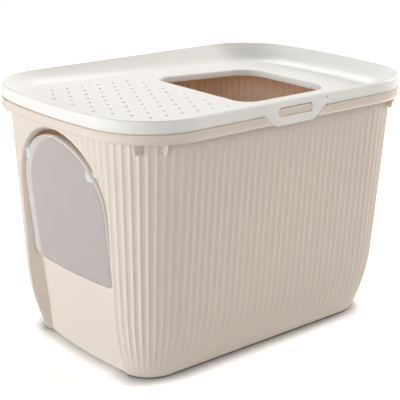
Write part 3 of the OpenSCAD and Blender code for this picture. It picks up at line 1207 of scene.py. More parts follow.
    def outside_points(self, columns: Array, rows: Array, lined: bool) -> Array:
        """Wall points beyond the bands, on the flutes' own columns.

        Args:
            columns: lengths along the outline.
            rows: heights above the ground.
            lined: true for the wall's inner face.

        Returns:
            Array (n, 2) in the door's plane.
        """
        found = []
        for z in rows:
            inset = self.lining(z) if lined else self.run_in(z)
            found.append(DOOR.from_world(PLAN.ring(columns, inset, z)))
        local = np.concatenate(found)
        down = np.maximum(-self.arch_drop - local[:, 1], 0)
        from_arch = np.hypot(local[:, 0], local[:, 1] + self.arch_drop)
        reach = np.where(down > 0, np.abs(local[:, 0]), from_arch)
        narrow = self.leg_lean * self.recess_back / (self.arch_foot - self.arch_drop)
        return local[reach > self.arch_radius - narrow * down + self.band_width][:, :2]

    def face(
        self, make: MeshBuilder, runs: Array, rows: Sequence[float], lined: bool
    ) -> tuple[Array, Array, Array]:
        """One face of the wall: plain rings, and the recess patched into them.

        Args:
            make: builder that gets the face.
            runs: lengths along the outline of the columns.
            rows: heights from the top down; the patch reaches from the first row at or under
                patch_top to the first at or under patch_low.
            lined: true for the inner face.

        Returns:
            Indices of the top ring, of the lowest ring and of the doorway's loop.
        """
        first, last = self.columns
        grow = self.wall if lined else 0.0
        inset_at = self.lining if lined else self.run_in
        rings = [PLAN.ring(runs, inset_at(z), z) for z in rows]
        upper = next(i for i, z in enumerate(rows) if z <= self.patch_top)
        lower = next(i for i, z in enumerate(rows) if z <= self.patch_low)
        rings = [self.sunk(r, grow) if i >= lower else r for i, r in enumerate(rings)]
        made = [make.add(ring) for ring in rings]
        for i, (a, b) in enumerate(zip(made, made[1:])):
            if upper <= i < lower:
                order = np.concatenate([np.arange(last, len(runs)), np.arange(0, first + 1)])
                make.strip(a[order], b[order], closed=False)
            else:
                make.strip(a, b)
        way = self.doorway()
        boundary = np.concatenate(
            [
                made[upper][first : last + 1],
                [made[i][last] for i in range(upper + 1, lower)],
                made[lower][first : last + 1][::-1],
                [made[i][first] for i in range(lower - 1, upper, -1)],
            ]
        )
        fine, coarse = (5.0, 12.0) if lined else (2.0, 6.0)
        inner_columns = runs[first + 2 : last - 1]
        grid_rows = np.arange(self.patch_low + 4, self.patch_top - 3, coarse)
        bands = self.patch_points(way, fine)
        free = np.concatenate([bands, self.outside_points(inner_columns, grid_rows, lined)])
        way_z, _ = self.surface(way[:, 0], way[:, 1], lined)
        free_z, _ = self.surface(free[:, 0], free[:, 1], lined)
        loop = make.add(DOOR.to_world(np.column_stack([way, way_z])))
        spots = make.add(DOOR.to_world(np.column_stack([free, free_z])))
        flat = DOOR.from_world(make.points())[:, :2]
        make.faces.append(fill_region(flat, [boundary, loop], spots))
        return made[0], made[-1], loop

    def build(self, material: Material) -> Object:
        """Builds the closed wall and base, then presses the flutes into its outer face.

        Args:
            material: the bin's plastic.

        Returns:
            The piece.
        """
        make = MeshBuilder()
        pitch = 2 * PLAN.quarter / self.flute_pairs
        count = 2 * self.flute_pairs * self.flute_columns
        runs = PLAN.quarter + np.arange(count) * pitch / self.flute_columns
        outer_rows = [self.top, self.patch_top, 352, 325, 300, 270, 240, 210, 180, 150, 130, 110]
        outer_rows += [95, 80, 66, 54, 43, 34, 26, 19, self.edge_height, 6.75, 3.0, 0.75, 0.0]
        top_out, low_out, loop_out = self.face(make, runs, outer_rows, lined=False)
        outer_count = make.count
        inner_rows = [self.top, 366, 340, 300, 250, 200, 150, 110, 80, 54, 34, 22, 14]
        top_in, low_in, loop_in = self.face(make, runs, inner_rows, lined=True)
        make.strip(top_out, top_in)
        make.strip(loop_out, loop_in)
        foot = float(self.run_in(0.0))
        ring_in = make.loft([PLAN.ring(runs, foot + self.foot_ring, z) for z in (0.0, self.hollow)])
        make.strip(low_out, ring_in[0])
        make.fan(ring_in[1], (0.0, 0.0, self.hollow))
        cove = [
            self.sunk(PLAN.ring(runs, inset, z), self.wall)
            for inset, z in ((foot - 5.2, 7.5), (foot - 1.6, 4.3), (foot + self.wall, self.base))
        ]
        floor = make.loft(cove)
        make.strip(low_in, floor[0])
        make.fan(floor[-1], (0.0, 0.0, self.base))

        points = make.points()
        inward, arc, share = self.flute_fields(points, np.arange(len(points)) >= outer_count)
        wall = make.to_object("bin_wall", {"inward": inward, "arc_length": arc, "fade": share})
        tree = Tree(
            "flutes",
            {
                "Pitch": ("NodeSocketFloat", pitch * MM),
                "Depth": ("NodeSocketFloat", self.flute_depth * MM),
            },
        )
        self.flute_nodes(tree, material)
        tree.run(wall)
        for label in ("inward", "arc_length", "fade"):
            wall.data.attributes.remove(wall.data.attributes[label])
        shade_by_angle(wall)
        return wall

    def flute_fields(self, points: Array, lined: Array) -> tuple[Array, Array, Array]:
        """What the flute tree reads at each point.

        Args:
            points: all points of the wall.
            lined: flags, true for the points of the inner face.

        Returns:
            Inward unit vectors, length along the outline from a ridge, and the depth's share.
        """
        inset = np.where(lined, self.lining(points[:, 2]), self.run_in(points[:, 2]))
        run, normal = PLAN.locate(points[:, :2], inset)
        inward = np.column_stack([-normal, np.zeros(len(points))])
        local = DOOR.from_world(points)
        reach = np.ones(len(points))
        for face in (False, True):
            near = (points[:, 0] < self.door_end_x) & (lined == face)
            _, reach[near] = self.surface(local[near, 0], local[near, 1], lined=face)
        return inward, (run - PLAN.quarter) * MM, self.depth_share(points[:, 2]) * reach

    def flute_nodes(self, tree: Tree, material: Material) -> None:
        """Scoops that follow one another along the wall: depth (1 - (2t - 1)^2) across each pitch.

        Args:
            tree: the tree that gets the nodes.
            material: the bin's plastic.
        """
        arc = tree.add("GeometryNodeInputNamedAttribute", {"Name": "arc_length"}, data_type="FLOAT")
        fade = tree.add("GeometryNodeInputNamedAttribute", {"Name": "fade"}, data_type="FLOAT")
        inward = tree.add(
            "GeometryNodeInputNamedAttribute", {"Name": "inward"}, data_type="FLOAT_VECTOR"
        )
        turns = tree.add("ShaderNodeMath", {"Value": arc, "Value_001": tree["Pitch"]}, operation="DIVIDE")
        part = tree.add("ShaderNodeMath", {"Value": turns}, operation="FRACT")
        across = tree.add(
            "ShaderNodeMath", {"Value": part, "Value_001": 2.0, "Value_002": -1.0}, operation="MULTIPLY_ADD"
        )
        square = tree.add("ShaderNodeMath", {"Value": across, "Value_001": across}, operation="MULTIPLY")
        scoop = tree.add("ShaderNodeMath", {"Value": 1.0, "Value_001": square}, operation="SUBTRACT")
        deep = tree.add(
            "ShaderNodeMath", {"Value": scoop, "Value_001": tree["Depth"]}, operation="MULTIPLY"
        )
        faded = tree.add("ShaderNodeMath", {"Value": deep, "Value_001": fade}, operation="MULTIPLY")
        move = tree.add("ShaderNodeVectorMath", {"Vector": inward, "Scale": faded}, operation="SCALE")
        moved = tree.add("GeometryNodeSetPosition", {"Geometry": tree["Geometry"], "Offset": move})
        tree.finish(moved, material)


@dataclass
class LatchShape:
    """Outline of a latch's tongue, its slot and the catch that fills the slot."""

    half_width: float = 63.0
    foot_half: float = 45.0
    rim_z: float = 376.5
    foot_z: float = 358.0
    root_z: float = 388.0
    slot_half: float = 33.0
    slot_low: float = 370.9
    slot_height: float = 13.0
    slot_radius: float = 5.5
    skirt_in: float = 1.0
    thick: float = 2.4
    edge: float = 0.7

    def tongue(self, grow: float, top: float) -> Array:
        """Loop of the tongue.

        Args:
            grow: distance by which it is widened.
            top: height at which it ends.

        Returns:
            Array (n, 2) of x and z.
        """
        b, f, z = self.half_width + grow, self.foot_half + grow, self.rim_z
        half = [
            (b, top, 0.05),
            (b, z - 0.8, 0.6),
            (b - 7, z - 2.6, 5.0),
            (f, self.foot_z + 5, 6.0),
            (f - 9, self.foot_z - grow, 6.0),
        ]
        other = [(-x, y, r) for x, y, r in reversed(half)]
        return resampled(rounded_polygon(half + other, 12.0), 4.0)

    def slot(self, shrink: float, top_gap: float) -> Array:
        """Loop of the slot, or of the catch that fills it.

        Args:
            shrink: gap to the catch at the sides and below.
            top_gap: gap to the catch above.

        Returns:
            Array (n, 2) of x and z.
        """
        b, low = self.slot_half - shrink, self.slot_low + shrink
        high, r = self.slot_low + self.slot_height - top_gap, self.slot_radius - shrink
        corners = [(b, low, r), (b, high, r), (-b, high, r), (-b, low, r)]
        return resampled(rounded_polygon(corners, 12.0), 4.0)

    def edge_radius(self, loop: Array) -> Array:
        """Radius of the tongue's edges: full at the root, small in the slot, none along the skirt.

        Args:
            loop: points (n, 2) of x and z.

        Returns:
            Radius at each point.
        """
        x, z = np.abs(loop[:, 0]), loop[:, 1]
        free = self.edge * np.clip((self.rim_z + 0.6 - z) / 0.8, 0.03, 1.0)
        in_slot = (x < self.slot_half + 0.1) & (z < self.root_z - 3) & (z > self.slot_low - 0.1)
        return np.where(z > self.root_z, 0.49 * self.thick, np.where(in_slot, self.edge, free))

    def build(self, name: str, side: Side) -> Object:
        """Builds a latch, rounded at its free edges and its root, sharp where the skirt goes on.

        Args:
            name: name of the piece.
            side: long side of the box.

        Returns:
            The piece.
        """
        make = MeshBuilder()
        outline = self.tongue(0.0, self.root_z + self.thick / 2)
        faces = (self.skirt_in, self.skirt_in + self.thick)
        slab(make, outline, faces, self.edge_radius, self.slot(0.0, 0.0), side.value)
        return make.to_object(name)


@dataclass
class BinRim:
    """Shelf round the bin's mouth with its hanging band, stacking lugs and latch seats."""

    z: float = 376.5
    height: float = 15.5
    thick: float = 2.4
    mouth_in: float = 15.5
    relief: float = 0.9
    lug_thick: float = 2.6
    lug_drop: float = 15.5
    lug_taper: float = 3.0
    lug_end_y: float = 158.5
    lug_side_x: float = 221.0
    lug_edge: float = 0.45
    seat_in: float = 4.0
    latch_gap: float = 0.6
    catch_gap: float = 0.4
    catch_top_gap: float = 1.3
    catch_round: float = 1.6
    latch: LatchShape = field(default_factory=LatchShape)

    def build_band(self) -> Object:
        """Builds the shelf and band in one section swept round the plan, notched at the latches.

        Returns:
            The piece.
        """
        top, low, t, r = self.z, self.z - self.height, self.thick, self.relief
        # Shelf and rebate, upper bead, band, lower bead, then back up the inner face.
        section = [(self.mouth_in, top), (4.2, top), (3.5, top - 0.1), (3.3, top - 0.4)]
        section += [(3.2, top - 1.4), (2.9, top - 1.7), (0.9, top - 1.8), (0.25, top - 2.0)]
        section += [(0.0, top - 2.5), (0.0, top - 3.1), (0.15, top - 3.4), (r - 0.1, top - 4.0)]
        section += [(r, top - 4.4), (r, low + 2.9), (r - 0.1, low + 2.5), (0.2, low + 1.9)]
        section += [(0.0, low + 1.6), (0.0, low + 0.9), (0.3, low + 0.25), (0.9, low), (1.6, low)]
        section += [(2.2, low + 0.25), (t, low + 0.8), (t, top - t - 1.6), (t + 0.5, top - t - 0.45)]
        section += [(t + 1.6, top - t), (self.mouth_in, top - t)]
        runs = PLAN.runs(12, 40, 16)
        make = MeshBuilder()
        make.loft([PLAN.ring(runs, inset, z) for inset, z in section], looped=True)
        rim = make.to_object("bin_rim")
        cutters = []
        for side in Side:
            tool = MeshBuilder()
            outline = self.latch.tongue(self.latch_gap, top + 2.0)
            rings = []
            for inset in (-1.5, self.seat_in - 0.02):
                y = np.full(len(outline), inset - PLAN.width / 2)
                ring = np.stack([outline[:, 0], y, outline[:, 1]], axis=1)
                rings.append(turned(ring, side.value))
            made = tool.loft(rings)
            flat = turned(tool.points(), -side.value)[:, [0, 2]]
            for ring in made:
                tool.faces.append(fill_region(flat, [ring], np.array([], int)))
            cutters.append(tool.to_object("notch_tool"))
        return subtract(rim, cutters)

    def lug_mesh(self, name: str, off: float, wall: BinWall) -> Object:
        """Builds one stacking lug, drawn from its corner's centre line outwards along +X.

        Args:
            name: name of the tool object.
            off: distance of the lug from the corner's centre line.
            wall: the wall it stands on.

        Returns:
            The object that the lug tree repeats.
        """
        low = self.z - self.height - self.lug_drop
        rim_low, shelf = self.z - self.height, self.z - self.thick / 2
        free = PLAN.corner_reach(self.thick, off) - 0.5
        band = PLAN.corner_reach(self.thick / 2, off)
        # The lug's root goes 1.9 mm into the wall.
        root_low = PLAN.corner_reach(float(wall.run_in(low)) + 1.9, off)
        root_top = PLAN.corner_reach(float(wall.run_in(self.z)) + 1.9, off)
        corners = [(root_low, low, 0.2), (free - self.lug_taper, low, 1.2), (free, rim_low, 0.5)]
        corners += [(band, rim_low + 1.0, 0.3), (band, shelf, 0.3), (root_top, shelf, 0.3)]
        profile = resampled(rounded_polygon(corners, 20.0), 5.0)
        normal = loop_normals(profile)
        half, edge = self.lug_thick / 2, self.lug_edge
        # Places across the lug and how far its outline is pulled in there.
        lower = [(-half, edge), (-half + 0.13, 0.13), (-half + edge, 0)]
        upper = [(half - edge, 0), (half - 0.13, 0.13), (half, edge)]
        make = MeshBuilder()
        rings = []
        for y, pull in lower + upper:
            flat = profile - normal * pull
            rings.append(np.stack([flat[:, 0], np.full(len(flat), y), flat[:, 1]], axis=1))
        made = make.loft(rings)
        flat = make.points()[:, [0, 2]]
        for ring in (made[0], made[-1]):
            make.faces.append(fill_region(flat, [ring], np.array([], int)))
        return make.to_object(name)

    def build_lugs(self, wall: BinWall, material: Material) -> Object:
        """Repeats the two lugs round the four corners with a geometry node tree.

        Args:
            wall: the wall that the lugs stand on.
            material: the bin's plastic.

        Returns:
            The piece with all eight lugs.
        """
        places, turns, kinds = [], [], []
        for sx in (-1, 1):
            for sy in (-1, 1):
                places.append((sx * PLAN.corner_x * MM, sy * self.lug_end_y * MM, 0.0))
                turns.append(0.0 if sx > 0 else math.pi)
                kinds.append(0.0)
                places.append((sx * self.lug_side_x * MM, sy * PLAN.corner_y * MM, 0.0))
                turns.append(sy * math.pi / 2)
                kinds.append(1.0)
        mesh = bpy.data.meshes.new("bin_lugs")
        mesh.from_pydata(places, [], [])
        for label, values in (("turn", turns), ("kind", kinds)):
            mesh.attributes.new(label, "FLOAT", "POINT").data.foreach_set("value", values)
        lugs = bpy.data.objects.new("bin_lugs", mesh)
        bpy.context.scene.collection.objects.link(lugs)
        end_tool = self.lug_mesh("lug_end_tool", self.lug_end_y - PLAN.corner_y, wall)
        side_tool = self.lug_mesh("lug_side_tool", self.lug_side_x - PLAN.corner_x, wall)
        tree = Tree(
            "stacking_lugs",
            {"End lug": ("NodeSocketObject", end_tool), "Side lug": ("NodeSocketObject", side_tool)},
        )
        turn = tree.add("GeometryNodeInputNamedAttribute", {"Name": "turn"}, data_type="FLOAT")
        kind = tree.add("GeometryNodeInputNamedAttribute", {"Name": "kind"}, data_type="FLOAT")
        rotation = tree.add("ShaderNodeCombineXYZ", {"Z": turn})
        joined = add_node(tree.group, "GeometryNodeJoinGeometry")
        for label, wanted in (("Side lug", 1.0), ("End lug", 0.0)):
            info = add_node(tree.group, "GeometryNodeObjectInfo", {"Object": tree[label]})
            chosen = tree.add(
                "FunctionNodeCompare", {"A": kind, "B": wanted, "Epsilon": 0.1}, operation="EQUAL"
            )
            copies = tree.add(
                "GeometryNodeInstanceOnPoints",
                {
                    "Points": tree["Geometry"],
                    "Selection": chosen,
                    "Instance": info.outputs["Geometry"],
                    "Rotation": rotation,
                },
            )
            tree.group.links.new(copies, joined.inputs["Geometry"])
        tree.finish(joined.outputs["Geometry"], material)
        tree.run(lugs)
        for tool in (end_tool, side_tool):
            bpy.data.objects.remove(tool)
        return lugs

    def build_seat(self, name: str, side: Side) -> Object:
        """Builds the wall behind a latch with the rounded catch that its slot snaps over.

        Args:
            name: name of the piece.
            side: long side of the box.

        Returns:
            The piece.
        """
        make = MeshBuilder()
        half, low, top = self.latch.half_width + 4, self.z - self.height, self.z
        corners = [(half, low, 1.0), (half, top, 0.3), (-half, top, 0.3), (-half, low, 1.0)]
        plate = resampled(rounded_polygon(corners, 20.0), 8.0)
        catch = self.latch.slot(self.catch_gap, self.catch_top_gap)
        back = self.seat_in + self.thick
        catch_faces = (self.latch.skirt_in + 0.3, back - 0.3)
        for outline, faces, size in (
            (plate, (self.seat_in, back), 0.2),
            (catch, catch_faces, self.catch_round),
        ):
            slab(make, outline, faces, lambda p, size=size: np.full(len(p), size), None, side.value)
        return make.to_object(name)


@dataclass
class PinSockets:
    """Bosses behind the doorway's sides that hold the flap's pins."""

    pin_reach: float = 93.53
    bore: float = 4.58
    wall: float = 3.4
    start: float = 87.4

    def build(self, recess: BinWall) -> Object:
        """Builds both bosses, cut back where the recess's face passes through them.

        Args:
            recess: the wall whose recess they stand behind.

        Returns:
            The piece.
        """
        make = MeshBuilder()
        angles = np.radians(np.arange(0, 360, 6))
        outer, end = self.bore + self.wall, self.pin_reach + self.wall
        start, seat = self.start, self.pin_reach + 0.5
        section = [(self.bore, start), (outer - 0.6, start), (outer, start + 0.6), (outer, end - 0.8)]
        section += [(outer - 0.8, end), (0.6, end), (0.6, seat), (self.bore, seat)]
        for side in (-1, 1):
            rings = []
            for radius, x in section:
                ring = [np.full(len(angles), side * x), radius * np.cos(angles), radius * np.sin(angles)]
                ring = np.stack(ring, axis=1)
                cover, _ = recess.surface(ring[:, 0], ring[:, 1], lined=False)
                ring[:, 2] = np.minimum(ring[:, 2], cover - 0.5)
                rings.append(DOOR.to_world(ring))
            make.loft(rings, looped=True)
        return make.to_object("pin_sockets")


# ---- lid


@dataclass
class Lid:
    """Lid with a rolled rim, a dish that falls towards the entry, and rows of litter holes."""

    top: float = 394.0
    skirt_low: float = 376.5
    thick: float = 2.4
    skirt_in: float = 1.0
    crest: float = 2.6
    dish_in: float = 3.12
    dish_width: float = 44.0
    dish_depth: float = 16.0
    dish_x: float = -190.0
    fall: float = math.radians(1.6)
    entry_x: tuple[float, float] = (-17.0, 181.0)
    entry_b: tuple[float, float] = (111.0, 94.0)
    entry_r: tuple[float, float] = (25.0, 44.0)
    lip: float = 10.5
    mouth: float = 2.2
    under_foot: float = 382.0
    latch_ease: float = 0.03
    hole: float = 5.6
    hole_sink: float = 0.55
    hole_pitch: float = 28.0
    hole_rows: float = 24.6
    row_count: int = 10
    hole_x: float = -234.0
    hole_end: float = -46.0
    hole_corner: float = 320.0
    latch: LatchShape = field(default_factory=LatchShape)

    def floor(self, x: Array | float) -> Array | float:
        """Height of the dish's floor at a place along the lid."""
        return self.top - self.dish_depth - math.tan(self.fall) * (x - self.dish_x)

    def dish_ring(self, runs: Array, t: float, drop: float) -> Array:
        """Ring of the dish's curved side.

        Args:
            runs: lengths along the outline.
            t: way down the side, from 0 at the crest to 1 at the floor.
            drop: thickness by which the ring is lowered.

        Returns:
            Array (n, 3) of points.
        """
        flat, _ = PLAN.at(runs, self.skirt_in + self.dish_in + self.dish_width * t)
        level = self.floor(flat[:, 0])
        z = level + (self.top - level) * (1 - t) ** 2 - drop
        return np.column_stack([flat, z])

    def on_dish(self, points: Array) -> Array:
        """Carries points from the leaning floor into the frame.

        Args:
            points: array of points, x along the floor and z off it.

        Returns:
            The same points in the frame's axes.
        """
        x, y, z = np.moveaxis(points, -1, 0)
        s, c = math.sin(self.fall), math.cos(self.fall)
        return np.stack([x * c + z * s, y, self.floor(0.0) - x * s + z * c], axis=-1)

    def entry_ring(self, grow: float, z: float) -> Array:
        """Loop of the entry hole.

        Args:
            grow: distance by which it is grown outwards.
            z: height off the leaning floor.

        Returns:
            Array (n, 3) of points.
        """
        (x0, x1), (b0, b1), (r0, r1) = self.entry_x, self.entry_b, self.entry_r
        corners = [(x0, b0, r0), (x0, -b0, r0), (x1, -b1, r1), (x1, b1, r1)]
        base = resampled(rounded_polygon(corners, 5.0), 6.0)
        flat = base + loop_normals(base) * grow
        return self.on_dish(np.column_stack([flat, np.full(len(flat), z)]))

    def build_shell(self) -> Object:
        """Builds the closed shell: skirt, crest, dish, floor, and the lip round the entry.

        Returns:
            The piece, before its latches and holes are cut.
        """
        make = MeshBuilder()
        runs = PLAN.runs(24, 48, 40)
        low, t = self.skirt_low, self.thick
        section = [(self.skirt_in + t, low), (2.0, low), (1.55, low + 0.06), (1.17, low + 0.28)]
        section.append((1.0, low + 0.7))
        section += [(1.0, z) for z in (low + 3, low + 8, self.top - self.crest - 0.6)]
        for a in np.radians(np.linspace(0, 110, 12)):
            inset = self.skirt_in + self.crest - self.crest * math.cos(a)
            section.append((inset, self.top - self.crest + self.crest * math.sin(a)))
        outer = [PLAN.ring(runs, inset, z) for inset, z in section]
        steps = (0.035, 0.07, 0.11, 0.16, 0.22, 0.29, 0.37, 0.46, 0.55, 0.64, 0.73, 0.82, 0.9, 0.96, 1.0)
        outer += [self.dish_ring(runs, step, 0.0) for step in steps]
        steps = (1.0, 0.9, 0.8, 0.7, 0.6, 0.5, 0.4, 0.3, 0.2, 0.12, 0.08)
        under = [self.dish_ring(runs, step, t) for step in steps]
        under += [
            PLAN.ring(runs, self.skirt_in + t, z) for z in (self.top - 1.9 * t, self.under_foot)
        ]
        made_outer = make.loft(outer)
        made_under = make.loft(under)
        make.strip(made_under[-1], made_outer[0])

        r, lip = self.mouth, self.lip
        angles = np.radians(np.linspace(0, 90, 7))
        mouth = [(r * (1 - math.sin(a)), -r * (1 - math.cos(a))) for a in angles]
        section = [*mouth, (0.0, -lip + 0.8), (0.24, -lip + 0.24), (0.8, -lip), (1.6, -lip)]
        section += [(2.16, -lip + 0.24), (t, -lip + 0.8), (t, -t - 1.8), (t + 0.5, -t - 0.5), (t + 1.8, -t)]
        lips = make.loft([self.entry_ring(grow, z) for grow, z in section])
        flat = make.points()[:, :2]
        for rim, loop in ((made_outer[-1], lips[0]), (made_under[0], lips[-1])):
            gx, gy = np.meshgrid(np.arange(-236, 240, 12.0), np.arange(-144, 145, 12.0))
            spots = np.stack([gx.ravel(), gy.ravel()], axis=1)
            edge, hole = flat[rim], flat[loop]
            grown = hole + loop_normals(hole) * 4
            spots = spots[inside_loops(spots, [edge - loop_normals(edge) * 4, grown])]
            drop = 0.0 if rim is made_outer[-1] else t
            added = make.add(np.column_stack([spots, self.floor(spots[:, 0]) - drop]))
            plane = make.points()[:, :2]
            make.faces.append(fill_region(plane, [rim, loop], added))
        return make.to_object("lid")

    def latch_room(self, side: Side) -> Object:
        """Closed tool that opens the skirt for a latch and its rolled root.

        Args:
            side: long side of the box.

        Returns:
            The tool.
        """
        make = MeshBuilder()
        latch, half = self.latch, PLAN.width / 2
        middle, radius = self.skirt_in + self.thick / 2, self.thick / 2 + 0.05
        angles = np.radians(np.linspace(-90, 90, 13))
        arch = [(middle - radius * math.sin(a), latch.root_z + radius * math.cos(a)) for a in angles]
        inside, outside, low = middle + radius + 0.1, middle - radius - 0.6, self.skirt_low - 2
        profile = [(inside, low), *arch, (outside, latch.root_z), (outside, low)]
        rings = []
        for x in (-latch.half_width - self.latch_ease, latch.half_width + self.latch_ease):
            ring = np.array([(x, inset - half, z) for inset, z in profile])
            rings.append(turned(ring, side.value))
        made = make.loft(rings)
        flat = turned(make.points(), -side.value)[:, 1:]
        for ring in made:
            make.faces.append(fill_region(flat, [ring], np.array([], int)))
        return make.to_object("latch_room_tool")

    def hole_tool(self) -> Object:
        """Closed tool of one litter hole, with a slight countersink at the floor.

        Returns:
            The tool, upright at the origin.
        """
        make = MeshBuilder()
        angles = np.radians(np.arange(0, 360, 15))
        r, sink, over = self.hole / 2, self.hole_sink, 1.0
        section = [(r + sink, over), (r + sink, 0.1), (r + 0.35, -0.1), (r, -sink)]
        section.append((r, -self.thick - over))
        rings = []
        for radius, z in section:
            ring = [radius * np.cos(angles), radius * np.sin(angles), np.full(len(angles), z)]
            rings.append(np.stack(ring, axis=1))
        made = make.loft(rings)
        make.fan(made[0], (0.0, 0.0, over))
        make.fan(made[-1], (0.0, 0.0, -self.thick - over))
        return make.to_object("litter_hole_tool")

    def pierce(self, lid: Object, material: Material) -> None:
        """Cuts the staggered rows of litter holes with a geometry node tree.

        Args:
            lid: the lid's shell.
            material: the lid's plastic.
        """
        tool = self.hole_tool()
        per_row = int((self.hole_end - self.hole_x) // self.hole_pitch) + 1
        tree = Tree(
            "litter_holes",
            {
                "Hole": ("NodeSocketObject", tool),
                "Pitch": ("NodeSocketFloat", self.hole_pitch * MM),
                "Row pitch": ("NodeSocketFloat", self.hole_rows * MM),
                "Per row": ("NodeSocketInt", per_row),
                "Rows": ("NodeSocketInt", self.row_count),
                "First x": ("NodeSocketFloat", self.hole_x * MM),
                "Corner limit": ("NodeSocketFloat", self.hole_corner * MM),
            },
        )
        # Each line is one sum: its name, what it does, and the names or numbers that it takes.
        sums = {label: tree[label] for label in tree.inputs}
        sums["index"] = tree.add("GeometryNodeInputIndex")
        for label, operation, *terms in (
            ("total", "MULTIPLY", "Per row", "Rows"),
            ("half way", "ADD", "index", 0.5),
            ("rows passed", "DIVIDE", "half way", "Per row"),
            ("row", "FLOOR", "rows passed"),
            ("row start", "MULTIPLY", "row", "Per row"),
            ("column", "SUBTRACT", "index", "row start"),
            ("odd", "MODULO", "row", 2.0),
            ("even", "SUBTRACT", 1.0, "odd"),
            ("stagger", "MULTIPLY", "even", 0.5),
            ("along", "ADD", "column", "stagger"),
            ("x", "MULTIPLY_ADD", "along", "Pitch", "First x"),
            ("last row", "SUBTRACT", "Rows", 1.0),
            ("middle", "MULTIPLY", "last row", 0.5),
            ("off middle", "SUBTRACT", "row", "middle"),
            ("y", "MULTIPLY", "off middle", "Row pitch"),
            ("off x", "ABSOLUTE", "x"),
            ("off y", "ABSOLUTE", "y"),
            ("reach", "ADD", "off x", "off y"),
            ("kept", "LESS_THAN", "reach", "Corner limit"),
        ):
            values = [sums[term] if isinstance(term, str) else term for term in terms]
            inputs = dict(zip(("Value", "Value_001", "Value_002"), values))
            sums[label] = tree.add("ShaderNodeMath", inputs, operation=operation)
        points = tree.add("GeometryNodePoints", {"Count": sums["total"]})
        spot = tree.add("ShaderNodeCombineXYZ", {"X": sums["x"], "Y": sums["y"]})
        placed = tree.add("GeometryNodeSetPosition", {"Geometry": points, "Position": spot})
        info = add_node(tree.group, "GeometryNodeObjectInfo", {"Object": tree["Hole"]})
        drills = tree.add(
            "GeometryNodeInstanceOnPoints",
            {"Points": placed, "Selection": sums["kept"], "Instance": info.outputs["Geometry"]},
        )
        leant = tree.add(
            "GeometryNodeTransform",
            {
                "Geometry": drills,
                "Rotation": (0.0, self.fall, 0.0),
                "Translation": (0.0, 0.0, float(self.floor(0.0)) * MM),
            },
        )
        real = tree.add("GeometryNodeRealizeInstances", {"Geometry": leant})
        cut = tree.add(
            "GeometryNodeMeshBoolean",
            {"Mesh 1": tree["Geometry"], "Mesh 2": real},
            operation="DIFFERENCE",
            solver="EXACT",
        )
        tree.finish(cut, material)
        tree.run(lid)
        bpy.data.objects.remove(tool)


# ---- flap


